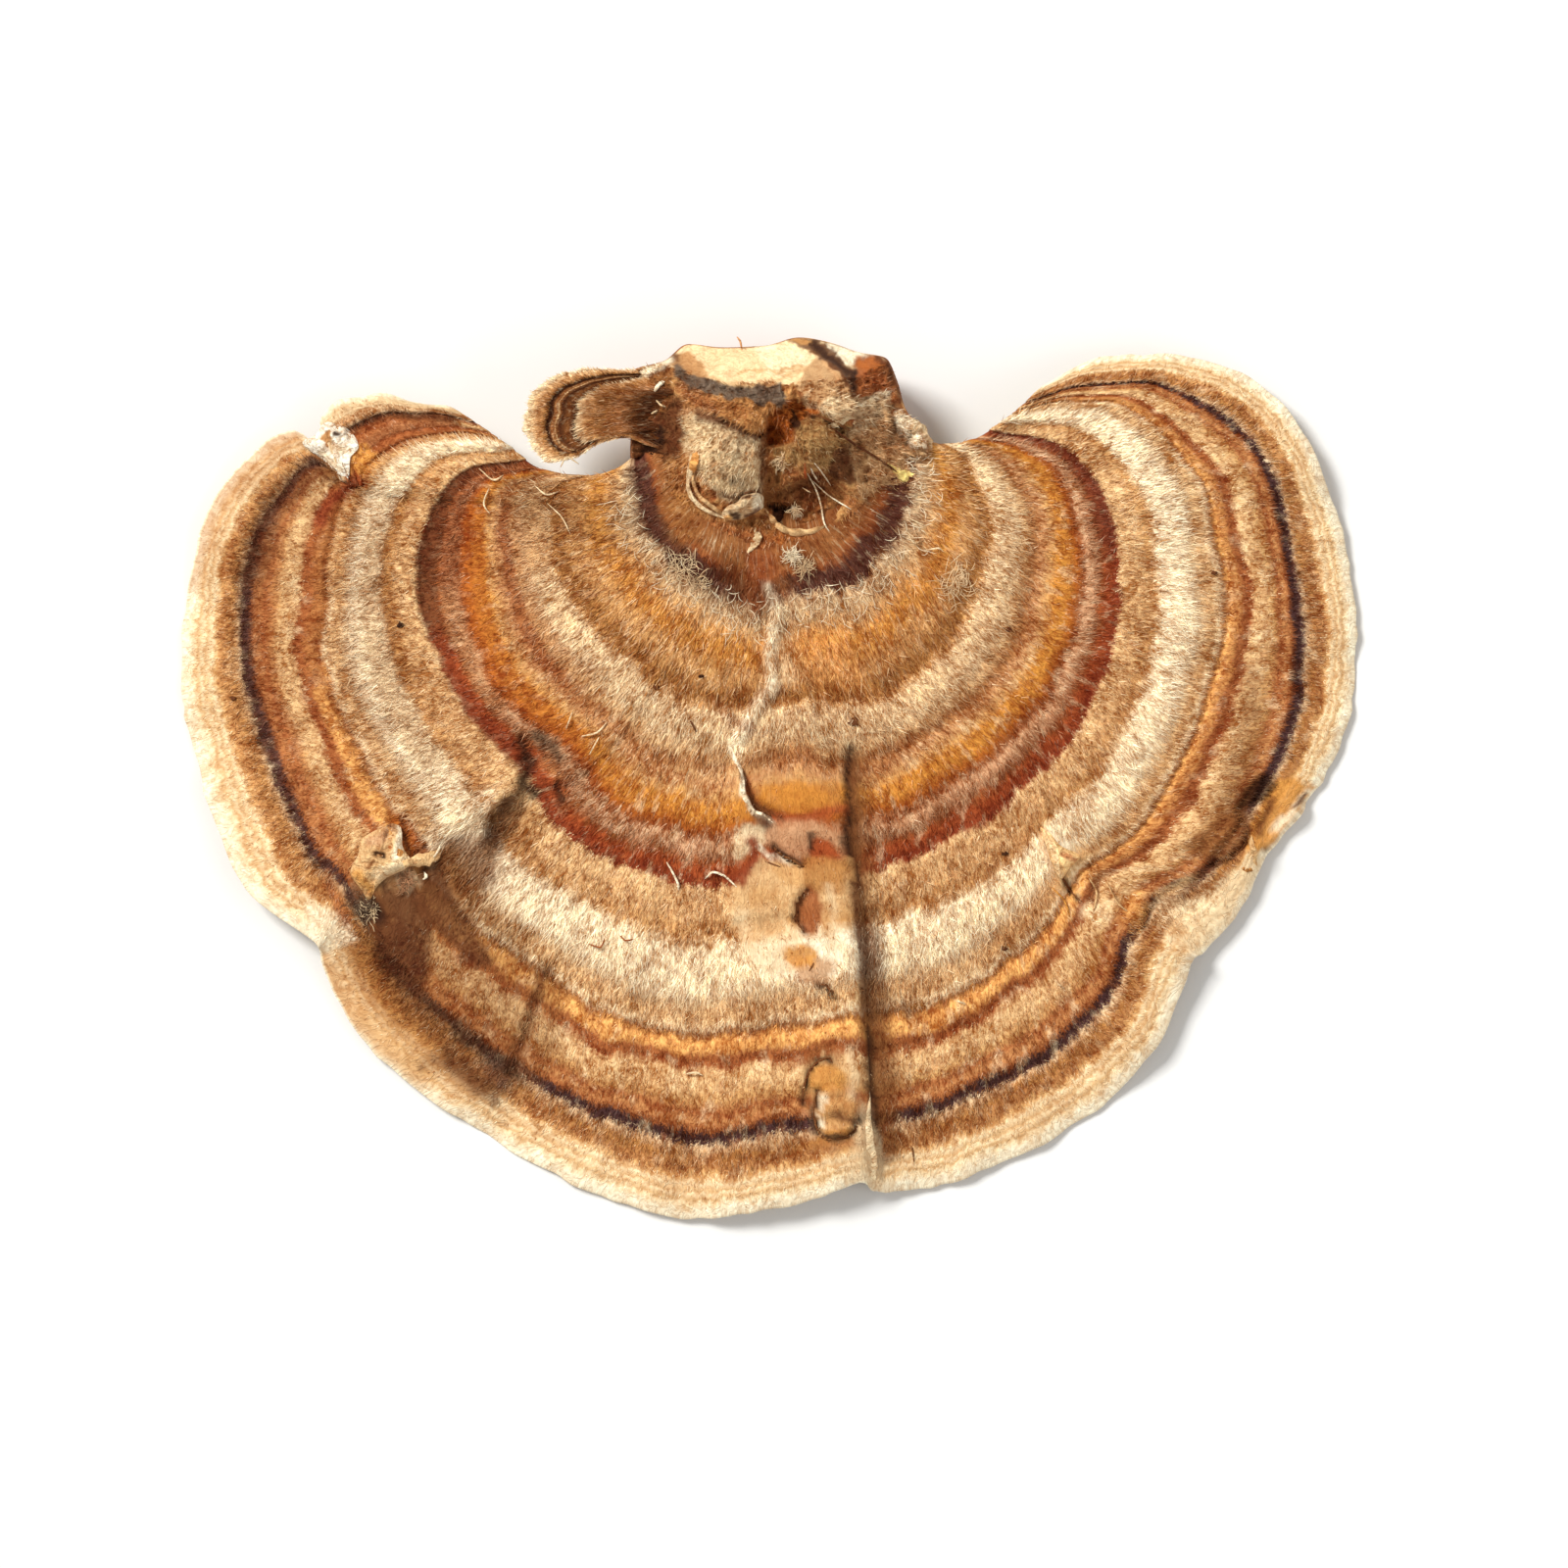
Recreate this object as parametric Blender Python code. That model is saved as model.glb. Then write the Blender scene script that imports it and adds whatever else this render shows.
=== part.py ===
"""Turkey tail fungus: a thin fan-shaped cap on the torn stump that held it to its log.

The cap, the stump and the small bracket at its left grew as one piece and are one solid. Two dry
husk strips lie on the cap in front of the stump. The fungus lies on its pore side. The frame is
+Z up with its origin under the middle of the object; +Y runs from the front margin to the stump.
"""

import math

import bmesh
import bpy
import numpy as np
from mathutils import Vector
from mathutils.bvhtree import BVHTree

MM = 0.001

# Driving dimensions in millimetres
CAP_WIDTH = 70.3
DRAWN_WIDTH = 70.3
SCALE = CAP_WIDTH / DRAWN_WIDTH
CORE_HEIGHT = 6.4
THICKNESS_AT_CORE = 5.6
THICKNESS_AT_MARGIN = 0.45
REST_SINK = 0.25
MARGIN_DROOP = 0.3
BACK_EDGE_WIDTH = 2.5
STUMP_TOP = 10.0
STUMP_SHOULDER = 5.7
STUMP_FRONT_SLOPE = (14.0, 20.6)
STUMP_SIDE_SLOPE = (5.4, 9.0)
STUMP_RIM_DROP = 0.5
STUMP_FOOT_SHRINK = 0.8
CUT_TILT = math.radians(58)
CUT_POINT = (0.0, 23.3, 10.0)
COLUMN_WIDTH = 1.45
HUSK_GAP = 0.35
HUSK_THICKNESS = 0.45
HUSK_EDGE = 0.25

# How far out each drawn growth ring lies, from the stump (0) to the margin (1)
GROWTH = (0.0, 0.08, 0.24, 0.44, 0.52, 0.73, 0.88, 1.0)
HEIGHT_GROWTH = (0.0, 0.08, 0.44, 0.73, 1.0)

# Radial lines of the cap, from the left back edge round the front to the right back edge. Each has
# its top heights at growth 0.44, 0.73 and 1, then its points on the growth rings, in millimetres.
# Two lines close together are the two sides of a tear, a notch or the fold.
RADIAL_LINES = (
    ("left back edge", (4.6, 4.2, 3.6),
     ((-6.4, 19.9), (-7.9, 18.8), (-11.1, 18.1), (-14.0, 18.6)),
     ((-14.8, 19.2), (-16.3, 20.4), (-17.7, 21.4), (-19.1, 22.3))),
    ("small lobe 1", (4.6, 4.1, 3.2),
     ((-6.1, 19.4), (-7.9, 18.2), (-12.3, 17.8), (-15.1, 18.4)),
     ((-16.0, 19.0), (-18.4, 20.7), (-20.0, 21.9), (-21.0, 22.5))),
    ("small lobe 2", (4.5, 4.0, 2.9),
     ((-5.9, 18.9), (-7.9, 17.8), (-13.0, 17.5), (-16.6, 18.1)),
     ((-17.4, 18.9), (-20.9, 20.5), (-22.5, 21.9), (-23.3, 23.0))),
    ("small lobe 3", (4.4, 3.8, 2.9),
     ((-5.7, 18.5), (-7.9, 17.2), (-13.3, 17.0), (-17.5, 17.5)),
     ((-18.9, 18.1), (-23.1, 19.5), (-24.7, 21.1), (-25.7, 22.6))),
    ("tear, right side", (4.3, 3.7, 3.1),
     ((-5.5, 18.0), (-7.8, 16.8), (-13.4, 16.6), (-17.9, 16.9)),
     ((-19.5, 17.2), (-24.2, 18.3), (-25.7, 20.1), (-26.7, 21.2))),
    ("tear, inner end", (4.2, 3.5, 3.3),
     ((-5.5, 17.8), (-7.8, 16.6), (-13.4, 16.4), (-18.0, 16.7)),
     ((-19.6, 16.9), (-24.2, 17.6), (-24.9, 17.6), (-25.4, 17.8))),
    ("tear, left side", (4.2, 3.2, 2.2),
     ((-5.4, 17.7), (-7.7, 16.5), (-13.4, 16.2), (-18.1, 16.5)),
     ((-19.9, 16.6), (-25.0, 17.4), (-26.9, 18.9), (-28.4, 20.9))),
    ("left lobe 1", (4.2, 3.0, 1.7),
     ((-5.2, 17.4), (-7.6, 16.1), (-13.4, 15.5), (-18.4, 15.4)),
     ((-20.4, 15.4), (-25.7, 15.9), (-29.1, 17.1), (-31.8, 18.5))),
    ("left lobe 2", (4.1, 2.7, 1.3),
     ((-5.0, 16.9), (-7.4, 15.5), (-13.1, 14.1), (-18.5, 13.6)),
     ((-20.9, 13.4), (-26.3, 13.6), (-30.7, 14.2), (-34.0, 14.6))),
    ("left lobe 3", (4.0, 2.4, 0.9),
     ((-4.8, 16.4), (-7.0, 14.8), (-12.6, 12.6), (-18.4, 11.4)),
     ((-21.0, 11.4), (-26.6, 11.4), (-31.3, 11.2), (-34.7, 11.1))),
    ("left lobe 4", (4.0, 2.2, 0.8),
     ((-4.5, 15.9), (-6.5, 14.1), (-11.8, 11.1), (-18.0, 8.8)),
     ((-20.4, 8.6), (-26.7, 8.3), (-31.5, 8.0), (-35.1, 7.3))),
    ("left lobe 5", (4.1, 2.2, 0.8),
     ((-4.1, 15.5), (-5.9, 13.4), (-10.7, 9.4), (-16.9, 6.2)),
     ((-19.4, 6.1), (-26.1, 5.4), (-31.0, 5.1), (-34.9, 4.2))),
    ("left lobe 6", (4.2, 2.5, 1.1),
     ((-3.7, 15.1), (-5.1, 12.8), (-9.3, 7.9), (-15.3, 4.4)),
     ((-18.0, 3.8), (-25.0, 2.6), (-30.0, 2.0), (-34.0, 0.7))),
    ("left lobe 7", (4.3, 3.0, 1.7),
     ((-3.3, 14.8), (-4.5, 12.2), (-8.2, 6.8), (-13.4, 2.7)),
     ((-16.3, 1.9), (-23.6, -0.2), (-28.8, -1.4), (-33.0, -2.5))),
    ("left lobe 8", (4.4, 3.6, 2.5),
     ((-3.0, 14.6), (-4.0, 11.9), (-7.5, 6.2), (-12.2, 1.6)),
     ((-15.1, 0.6), (-22.5, -1.9), (-27.2, -4.3), (-31.2, -6.4))),
    ("left notch, upper side", (4.4, 3.9, 3.0),
     ((-2.8, 14.5), (-3.6, 11.7), (-6.9, 5.8), (-11.3, 0.8)),
     ((-14.4, -0.4), (-21.6, -3.3), (-25.4, -5.8), (-27.0, -9.8))),
    ("left notch, lower side", (4.0, 2.8, 1.7),
     ((-2.7, 14.4), (-3.4, 11.6), (-6.7, 5.6), (-11.0, 0.3)),
     ((-14.0, -1.1), (-20.4, -5.7), (-23.4, -9.2), (-26.8, -10.6))),
    ("middle lobe 1", (4.0, 2.6, 1.4),
     ((-2.4, 14.3), (-3.1, 11.4), (-6.1, 5.3), (-10.3, -0.6)),
     ((-13.0, -2.6), (-18.4, -8.4), (-21.4, -12.3), (-25.0, -14.4))),
    ("middle lobe 2", (4.1, 2.4, 1.0),
     ((-2.1, 14.2), (-2.7, 11.2), (-5.4, 4.9), (-9.1, -1.8)),
     ((-11.3, -4.0), (-15.6, -10.5), (-17.7, -15.6), (-21.4, -18.1))),
    ("middle lobe 3", (4.2, 2.3, 0.8),
     ((-1.8, 14.0), (-2.2, 10.9), (-4.4, 4.6), (-7.5, -2.7)),
     ((-9.2, -5.2), (-12.2, -12.4), (-13.8, -18.2), (-16.9, -21.2))),
    ("middle lobe 4", (4.4, 2.4, 0.8),
     ((-1.3, 13.8), (-1.5, 10.6), (-3.1, 4.4), (-5.3, -3.3)),
     ((-6.4, -6.2), (-8.1, -14.6), (-9.1, -20.4), (-10.7, -24.5))),
    ("middle lobe 5", (4.6, 2.9, 1.3),
     ((-0.9, 13.6), (-0.7, 10.2), (-1.7, 4.3), (-3.0, -3.6)),
     ((-3.4, -6.6), (-4.0, -15.4), (-4.3, -21.5), (-4.7, -26.2))),
    ("middle lobe 6", (4.9, 3.5, 2.0),
     ((-0.4, 13.5), (-0.0, 10.5), (-0.1, 4.4), (-0.3, -3.2)),
     ((-0.3, -6.1), (0.1, -14.9), (0.0, -20.9), (0.3, -25.6))),
    ("fold, high side", (5.3, 4.2, 2.8),
     ((0.3, 13.6), (0.9, 10.9), (2.2, 4.4), (3.6, -2.8)),
     ((4.0, -5.7), (4.9, -14.0), (5.1, -20.2), (5.6, -24.1))),
    ("fold, low side", (4.4, 3.0, 1.6),
     ((0.7, 13.6), (1.5, 11.0), (3.0, 4.4), (5.1, -2.6)),
     ((5.6, -5.9), (6.1, -14.1), (6.4, -20.4), (6.3, -24.5))),
    ("middle lobe 7", (4.2, 2.7, 1.1),
     ((1.4, 13.9), (2.4, 11.3), (4.6, 4.5), (7.5, -2.1)),
     ((8.1, -5.1), (9.1, -13.6), (9.4, -19.9), (9.4, -24.3))),
    ("middle lobe 8", (4.2, 2.4, 0.8),
     ((2.1, 14.2), (3.6, 11.5), (6.3, 4.8), (10.2, -0.9)),
     ((11.1, -3.8), (12.8, -11.9), (13.6, -18.0), (14.6, -22.5))),
    ("middle lobe 9", (4.2, 2.5, 0.9),
     ((2.8, 14.6), (4.8, 11.8), (7.8, 5.5), (12.3, 0.4)),
     ((13.4, -2.4), (15.4, -10.2), (17.3, -15.8), (19.6, -19.7))),
    ("middle lobe 10", (4.3, 2.9, 1.6),
     ((3.3, 15.1), (5.7, 12.4), (9.0, 6.3), (13.7, 1.4)),
     ((15.0, -1.1), (17.1, -8.1), (20.0, -13.2), (23.3, -15.6))),
    ("right notch, left side", (4.4, 3.5, 2.4),
     ((3.6, 15.3), (6.2, 12.9), (9.6, 6.8), (14.5, 2.2)),
     ((16.0, -0.2), (18.0, -6.4), (21.4, -9.8), (25.4, -10.5))),
    ("right notch, right side", (4.2, 3.0, 1.7),
     ((3.7, 15.5), (6.4, 13.1), (9.9, 7.1), (14.9, 2.5)),
     ((16.4, 0.2), (18.7, -5.4), (23.0, -7.2), (25.9, -10.3))),
    ("right lobe 1", (4.2, 2.8, 1.4),
     ((4.0, 15.8), (6.8, 13.6), (10.5, 7.6), (15.5, 3.4)),
     ((17.2, 0.9), (20.6, -4.2), (25.9, -5.5), (28.1, -7.8))),
    ("right lobe 2", (4.1, 2.5, 1.0),
     ((4.3, 16.1), (7.2, 14.2), (11.3, 8.7), (16.5, 4.7)),
     ((18.4, 2.6), (22.9, -1.9), (28.7, -1.8), (30.4, -3.3))),
    ("right lobe 3", (4.0, 2.2, 0.8),
     ((4.6, 16.6), (7.6, 14.9), (12.1, 10.2), (17.5, 6.4)),
     ((19.7, 5.3), (24.9, 1.9), (30.5, 1.6), (33.3, 0.2))),
    ("right lobe 4", (4.0, 2.2, 0.8),
     ((4.9, 17.1), (8.0, 15.7), (12.7, 11.9), (18.3, 8.3)),
     ((20.7, 8.1), (26.6, 6.0), (31.6, 5.8), (34.9, 4.9))),
    ("right lobe 5", (4.0, 2.3, 0.8),
     ((5.1, 17.5), (8.3, 16.6), (13.1, 13.6), (18.8, 10.7)),
     ((21.1, 10.8), (27.3, 9.6), (31.8, 9.5), (35.1, 9.4))),
    ("right lobe 6", (4.1, 2.7, 1.1),
     ((5.3, 17.9), (8.4, 17.4), (13.3, 15.0), (18.8, 13.2)),
     ((21.0, 13.9), (26.8, 13.8), (31.1, 13.9), (34.6, 13.9))),
    ("right lobe 7", (4.2, 3.2, 1.7),
     ((5.4, 18.4), (8.4, 18.1), (13.0, 16.5), (18.4, 15.9)),
     ((20.4, 16.2), (26.0, 17.4), (30.1, 17.8), (33.3, 17.6))),
    ("right lobe 8", (4.3, 3.6, 2.3),
     ((5.5, 18.7), (8.4, 18.6), (12.6, 17.6), (17.6, 17.8)),
     ((19.3, 18.3), (24.3, 19.8), (28.3, 20.7), (30.9, 22.1))),
    ("right lobe 9", (4.3, 3.6, 2.4),
     ((5.6, 19.0), (8.3, 18.9), (12.2, 18.5), (16.6, 19.1)),
     ((18.0, 19.7), (22.4, 21.6), (25.7, 22.6), (27.5, 24.6))),
    ("right lobe 10", (4.3, 3.6, 2.5),
     ((5.6, 19.3), (8.3, 19.2), (11.7, 19.2), (15.3, 19.8)),
     ((16.4, 20.5), (20.1, 22.6), (22.4, 23.8), (23.6, 25.4))),
    ("right lobe 11", (4.4, 3.8, 2.9),
     ((5.7, 19.6), (8.4, 19.5), (11.3, 19.6), (14.0, 20.2)),
     ((14.9, 20.7), (17.4, 22.6), (18.9, 23.6), (20.0, 25.2))),
    ("right back edge", (4.6, 4.2, 3.5),
     ((5.7, 19.8), (8.6, 19.8), (10.7, 19.9), (12.7, 20.4)),
     ((13.4, 20.9), (14.7, 21.9), (15.5, 22.6), (16.2, 23.4))),
)

# Heights of the rings and furrows between the growth zones, in millimetres
ZONE_RELIEF = (
    (0.0, 0.0), (0.045, 0.05), (0.08, -0.2), (0.12, 0.06), (0.18, 0.12), (0.24, -0.06),
    (0.285, 0.15), (0.335, -0.12), (0.4, 0.16), (0.44, -0.1), (0.465, 0.03), (0.5, -0.22),
    (0.53, 0.0), (0.58, 0.06), (0.635, 0.3), (0.68, 0.12), (0.73, -0.2), (0.755, 0.12),
    (0.78, -0.12), (0.82, 0.08), (0.85, -0.05), (0.88, -0.25), (0.91, 0.05), (0.94, -0.04),
    (0.97, 0.1), (1.0, 0.0),
)
UNDERSIDE_ROWS = (0.0, 0.1, 0.24, 0.44, 0.62, 0.78, 0.9, 0.97, 1.0)
THICKNESS = (
    (0.0, THICKNESS_AT_CORE), (0.08, 4.9), (0.24, 3.2), (0.44, 2.1), (0.73, 1.5), (0.92, 1.2),
    (0.98, 0.85), (1.0, THICKNESS_AT_MARGIN),
)
# Folds that run from the stump to the margin: how many across the cap, height and phase
RADIAL_FOLDS = ((17, 0.16, 1.0), (29, 0.1, 2.6), (43, 0.06, 0.4))
# Torn lumps and pits on the cap: middle, half sizes and height
CAP_LUMPS = (
    (-22.0, -4.4, 1.3, 1.0, 0.8),
    (-20.2, -4.9, 1.2, 0.5, 0.5),
    (-15.0, -15.5, 0.9, 3.0, -0.35),
    (0.9, -3.2, 1.4, 1.2, 0.35),
    (2.5, -7.9, 0.8, 1.6, -0.45),
    (3.9, -19.1, 1.2, 1.6, 0.45),
    (17.6, -4.6, 1.0, 1.2, 0.4),
    (18.2, -6.4, 0.5, 0.9, -0.4),
    (29.1, -2.6, 0.9, 2.2, -0.5),
    (31.4, -2.0, 0.9, 1.8, 0.3),
)
CORE_LINE = ((-5.0, 20.1), (5.0, 20.1))

# Outline of the stump seen from above, anticlockwise from its right side
STUMP_OUTLINE = (
    (9.4, 19.4), (8.9, 20.9), (8.0, 22.1), (7.5, 23.8), (6.8, 25.1), (5.3, 25.4), (3.6, 26.0),
    (1.8, 26.3), (-0.3, 25.8), (-2.6, 25.7), (-4.7, 25.9), (-6.1, 24.9), (-7.9, 24.3),
    (-8.0, 21.8), (-8.1, 19.4), (-7.6, 17.8), (-6.0, 16.0), (-3.8, 14.4), (0.0, 13.6),
    (3.6, 14.0), (6.0, 15.6), (8.2, 17.4),
)
STUMP_MIDDLE = (0.4, 20.2)
STUMP_SIDES = 44
STUMP_RINGS = 9
STUMP_WALL = ((0.75, 1.02), (0.5, 0.99), (0.2, 0.9))
STUMP_LUMPS = (
    (-2.9, 18.6, 2.5, 2.1, 0.9),
    (2.6, 19.6, 2.1, 2.2, 0.8),
    (0.1, 20.4, 0.8, 1.5, -2.2),
    (0.1, 17.4, 0.9, 1.8, -1.1),
    (-1.5, 23.2, 4.0, 0.6, 0.6),
    (-1.8, 21.7, 3.0, 0.5, -0.6),
    (6.3, 23.9, 1.1, 1.3, 0.9),
    (4.1, 22.6, 1.5, 1.2, 0.7),
    (4.4, 20.6, 0.4, 0.9, -0.8),
    (-6.6, 22.3, 1.0, 1.5, 0.6),
)

# The side bracket's radial lines, from its back edge round its tip to its hooked front edge,
# each with its heights at the root and at the margin
SIDE_LINES = (
    ((7.4, 6.6), ((-6.6, 23.2), (-7.2, 23.8), (-7.5, 24.1), (-7.9, 24.4))),
    ((7.6, 6.9), ((-6.8, 23.1), (-8.6, 23.4), (-9.5, 23.9), (-10.3, 24.5))),
    ((7.7, 6.9), ((-7.1, 22.8), (-9.5, 23.1), (-11.0, 23.6), (-12.2, 24.2))),
    ((7.7, 6.7), ((-7.3, 22.5), (-10.0, 22.7), (-11.9, 23.0), (-13.7, 23.4))),
    ((7.6, 6.4), ((-7.5, 22.2), (-10.4, 22.2), (-12.5, 22.1), (-14.4, 22.1))),
    ((7.5, 6.2), ((-7.6, 21.9), (-10.6, 21.6), (-12.7, 21.1), (-14.6, 20.9))),
    ((7.3, 6.1), ((-7.7, 21.5), (-10.5, 20.9), (-12.5, 20.1), (-14.0, 19.8))),
    ((7.2, 6.2), ((-7.6, 21.1), (-10.1, 20.5), (-11.7, 19.6), (-13.0, 18.9))),
    ((7.0, 6.3), ((-7.4, 20.6), (-9.6, 20.4), (-10.9, 19.8), (-11.7, 19.1))),
    ((6.9, 6.4), ((-7.1, 20.2), (-8.5, 20.5), (-9.4, 20.5), (-10.1, 20.0))),
    ((6.9, 6.5), ((-6.6, 19.6), (-7.6, 20.1), (-8.1, 20.4), (-8.4, 20.5))),
)
SIDE_GROWTH = (0.0, 0.4, 0.7, 1.0)
SIDE_RELIEF = (
    (0.0, 0.0), (0.25, 0.15), (0.45, 0.25), (0.6, -0.1), (0.72, 0.1), (0.8, -0.12),
    (0.9, 0.08), (1.0, -0.1),
)
SIDE_THICKNESS = ((0.0, 1.8), (0.5, 1.2), (0.9, 0.9), (1.0, 0.4))
SIDE_COLUMNS = 30

# The husk strips' routes over the cap and the widths along them
LEFT_HUSK = ((-4.8, 19.2), (-4.9, 18.0), (-4.3, 16.9), (-3.4, 16.2), (-2.5, 15.6), (-1.5, 15.7),
             (-0.5, 16.4))
LEFT_HUSK_WIDTHS = (0.5, 0.8, 0.9, 0.8, 0.9, 1.3, 0.5)
RIGHT_HUSK = ((0.1, 15.4), (0.9, 15.3), (1.8, 14.9), (2.8, 15.0), (3.7, 15.3))
RIGHT_HUSK_WIDTHS = (0.5, 0.8, 0.7, 0.6, 0.4)


def cubic_slopes(stations, values):
    """Slopes of a curve that passes through the values without overshooting them."""
    steps = np.diff(stations)[:, None]
    rises = np.diff(values, axis=0) / steps
    slopes = np.zeros_like(values)
    before = 2 * steps[1:] + steps[:-1]
    after = steps[1:] + 2 * steps[:-1]
    same_way = rises[1:] * rises[:-1] > 0
    safe_first = np.where(same_way, rises[:-1], 1.0)
    safe_second = np.where(same_way, rises[1:], 1.0)
    mean = (before + after) / (before / safe_first + after / safe_second)
    slopes[1:-1] = np.where(same_way, mean, 0.0)
    slopes[0] = rises[0]
    slopes[-1] = rises[-1]
    return slopes


def smooth_between(stations, values, wanted):
    """Values of that curve at the wanted stations; values may have any shape after the first axis."""
    stations = np.asarray(stations, float)
    values = np.asarray(values, float)
    flat = values.reshape(len(stations), -1)
    slopes = cubic_slopes(stations, flat)
    wanted = np.asarray(wanted, float)
    index = np.clip(np.searchsorted(stations, wanted, side="right") - 1, 0, len(stations) - 2)
    step = (stations[index + 1] - stations[index])[:, None]
    part = (wanted - stations[index])[:, None] / step
    result = flat[index] * (1 + 2 * part) * (1 - part) ** 2
    result += slopes[index] * step * part * (1 - part) ** 2
    result += flat[index + 1] * part ** 2 * (3 - 2 * part)
    result += slopes[index + 1] * step * part ** 2 * (part - 1)
    return result.reshape((len(wanted),) + values.shape[1:])


def profile(pairs, wanted):
    """Height of a hand-drawn profile, given as position and height pairs."""
    table = np.array(pairs)
    return smooth_between(table[:, 0], table[:, 1], np.atleast_1d(wanted))


def lumps(places, x, y):
    """Sum of soft lumps and pits at the given points."""
    total = np.zeros_like(x)
    for middle_x, middle_y, half_x, half_y, height in places:
        spread = ((x - middle_x) / half_x) ** 2 + ((y - middle_y) / half_y) ** 2
        total += height * np.exp(-spread)
    return total


def soft_step(low, high, value):
    """Zero below low, one above high and smooth between them."""
    part = np.clip((value - low) / (high - low), 0.0, 1.0)
    return part * part * (3 - 2 * part)


def closed_curve(points, count):
    """Evenly spread points on a smooth closed curve through the drawn ones."""
    drawn = np.array(points + points[:3])
    lengths = np.linalg.norm(np.diff(drawn, axis=0), axis=1)
    stations = np.concatenate([[0.0], np.cumsum(lengths)])
    start = stations[1]
    around = stations[len(points) + 1] - start
    wanted = start + around * np.arange(count) / count
    return smooth_between(stations, drawn, wanted)


def zip_chains(first, first_at, second, second_at):
    """Triangles between two chains of vertices that run side by side."""
    faces = []
    i = 0
    j = 0
    while i < len(first) - 1 or j < len(second) - 1:
        second_done = j == len(second) - 1
        if second_done or (i < len(first) - 1 and first_at[i + 1] <= second_at[j + 1]):
            faces.append((first[i], first[i + 1], second[j]))
            i += 1
        else:
            faces.append((first[i], second[j + 1], second[j]))
            j += 1
    return faces


def grid_faces(index):
    """Two triangles for each cell of a grid of vertex numbers, split along its shorter way."""
    faces = []
    for row in range(index.shape[0] - 1):
        for column in range(index.shape[1] - 1):
            corners = (index[row, column], index[row, column + 1],
                       index[row + 1, column + 1], index[row + 1, column])
            faces.append((corners[0], corners[1], corners[2]))
            faces.append((corners[0], corners[2], corners[3]))
    return faces


def sheet_solid(top, top_rows, bottom, bottom_rows, columns_at):
    """Vertices and faces of a closed sheet between a top grid and an underside grid."""
    top_index = np.arange(top.shape[0] * top.shape[1]).reshape(top.shape[:2])
    bottom_index = top_index.size + np.arange(bottom.shape[0] * bottom.shape[1])
    bottom_index = bottom_index.reshape(bottom.shape[:2])
    faces = grid_faces(top_index) + grid_faces(bottom_index)
    for row in (0, -1):
        faces += zip_chains(top_index[row], columns_at, bottom_index[row], columns_at)
    for column in (0, -1):
        faces += zip_chains(top_index[:, column], top_rows, bottom_index[:, column], bottom_rows)
    vertices = np.concatenate([top.reshape(-1, 3), bottom.reshape(-1, 3)])
    return vertices, faces


def make_material(name, colour, roughness):
    material = bpy.data.materials.new(name)
    material.use_nodes = True
    shader = material.node_tree.nodes["Principled BSDF"]
    shader.inputs["Base Color"].default_value = (*colour, 1.0)
    shader.inputs["Roughness"].default_value = roughness
    shader.inputs["Metallic"].default_value = 0.0
    return material


def make_object(name, vertices, faces, material):
    """A closed object in metres from vertices in millimetres, with its faces turned outwards."""
    mesh = bpy.data.meshes.new(name)
    build = bmesh.new()
    points = [build.verts.new(Vector(vertex) * MM * SCALE) for vertex in vertices.tolist()]
    for face in faces:
        build.faces.new([points[number] for number in face])
    bmesh.ops.recalc_face_normals(build, faces=build.faces)
    build.to_mesh(mesh)
    build.free()
    mesh.materials.append(material)
    mesh.shade_smooth()
    placed = bpy.data.objects.new(name, mesh)
    bpy.context.scene.collection.objects.link(placed)
    return placed


def line_points():
    return np.array([near + far for _, _, near, far in RADIAL_LINES])


def line_stations(points):
    """How far round the cap each radial line stands, from 0 to 1, and the whole way in millimetres."""
    widths = np.linalg.norm(np.diff(points[:, 2:], axis=0), axis=2).mean(axis=1)
    around = np.concatenate([[0.0], np.cumsum(widths)])
    return around / around[-1], around[-1]


def column_positions(stations, length):
    """A column on every radial line, and more between two that stand far apart."""
    columns = [0.0]
    for start, end in zip(stations[:-1], stations[1:]):
        count = max(1, round((end - start) * length / COLUMN_WIDTH))
        columns += list(start + (end - start) * np.arange(1, count + 1) / count)
    return np.array(columns)


def cap_rows(columns, rows, stations, points):
    """Places of a grid on the cap, with its smooth heights."""
    on_rings = smooth_between(stations, points, columns)
    places = smooth_between(GROWTH, on_rings.transpose(1, 0, 2), rows)
    heights = np.array([[CORE_HEIGHT, CORE_HEIGHT - 0.5, *drawn] for _, drawn, _, _ in RADIAL_LINES])
    on_lines = smooth_between(stations, heights, columns)
    levels = smooth_between(HEIGHT_GROWTH, on_lines.T, rows)
    return places, levels


def radial_folds(columns, rows):
    total = np.zeros((len(rows), len(columns)))
    strength = np.asarray(rows)[:, None] ** 1.5
    for count, height, phase in RADIAL_FOLDS:
        wander = 0.8 * np.sin(3 * np.asarray(rows)[:, None] + phase)
        total += height * strength * np.sin(2 * math.pi * count * columns[None] + phase + wander)
    return total


def margin_droop(rows):
    return MARGIN_DROOP * np.clip((np.asarray(rows) - 0.95) / 0.05, 0.0, 1.0) ** 2


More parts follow.
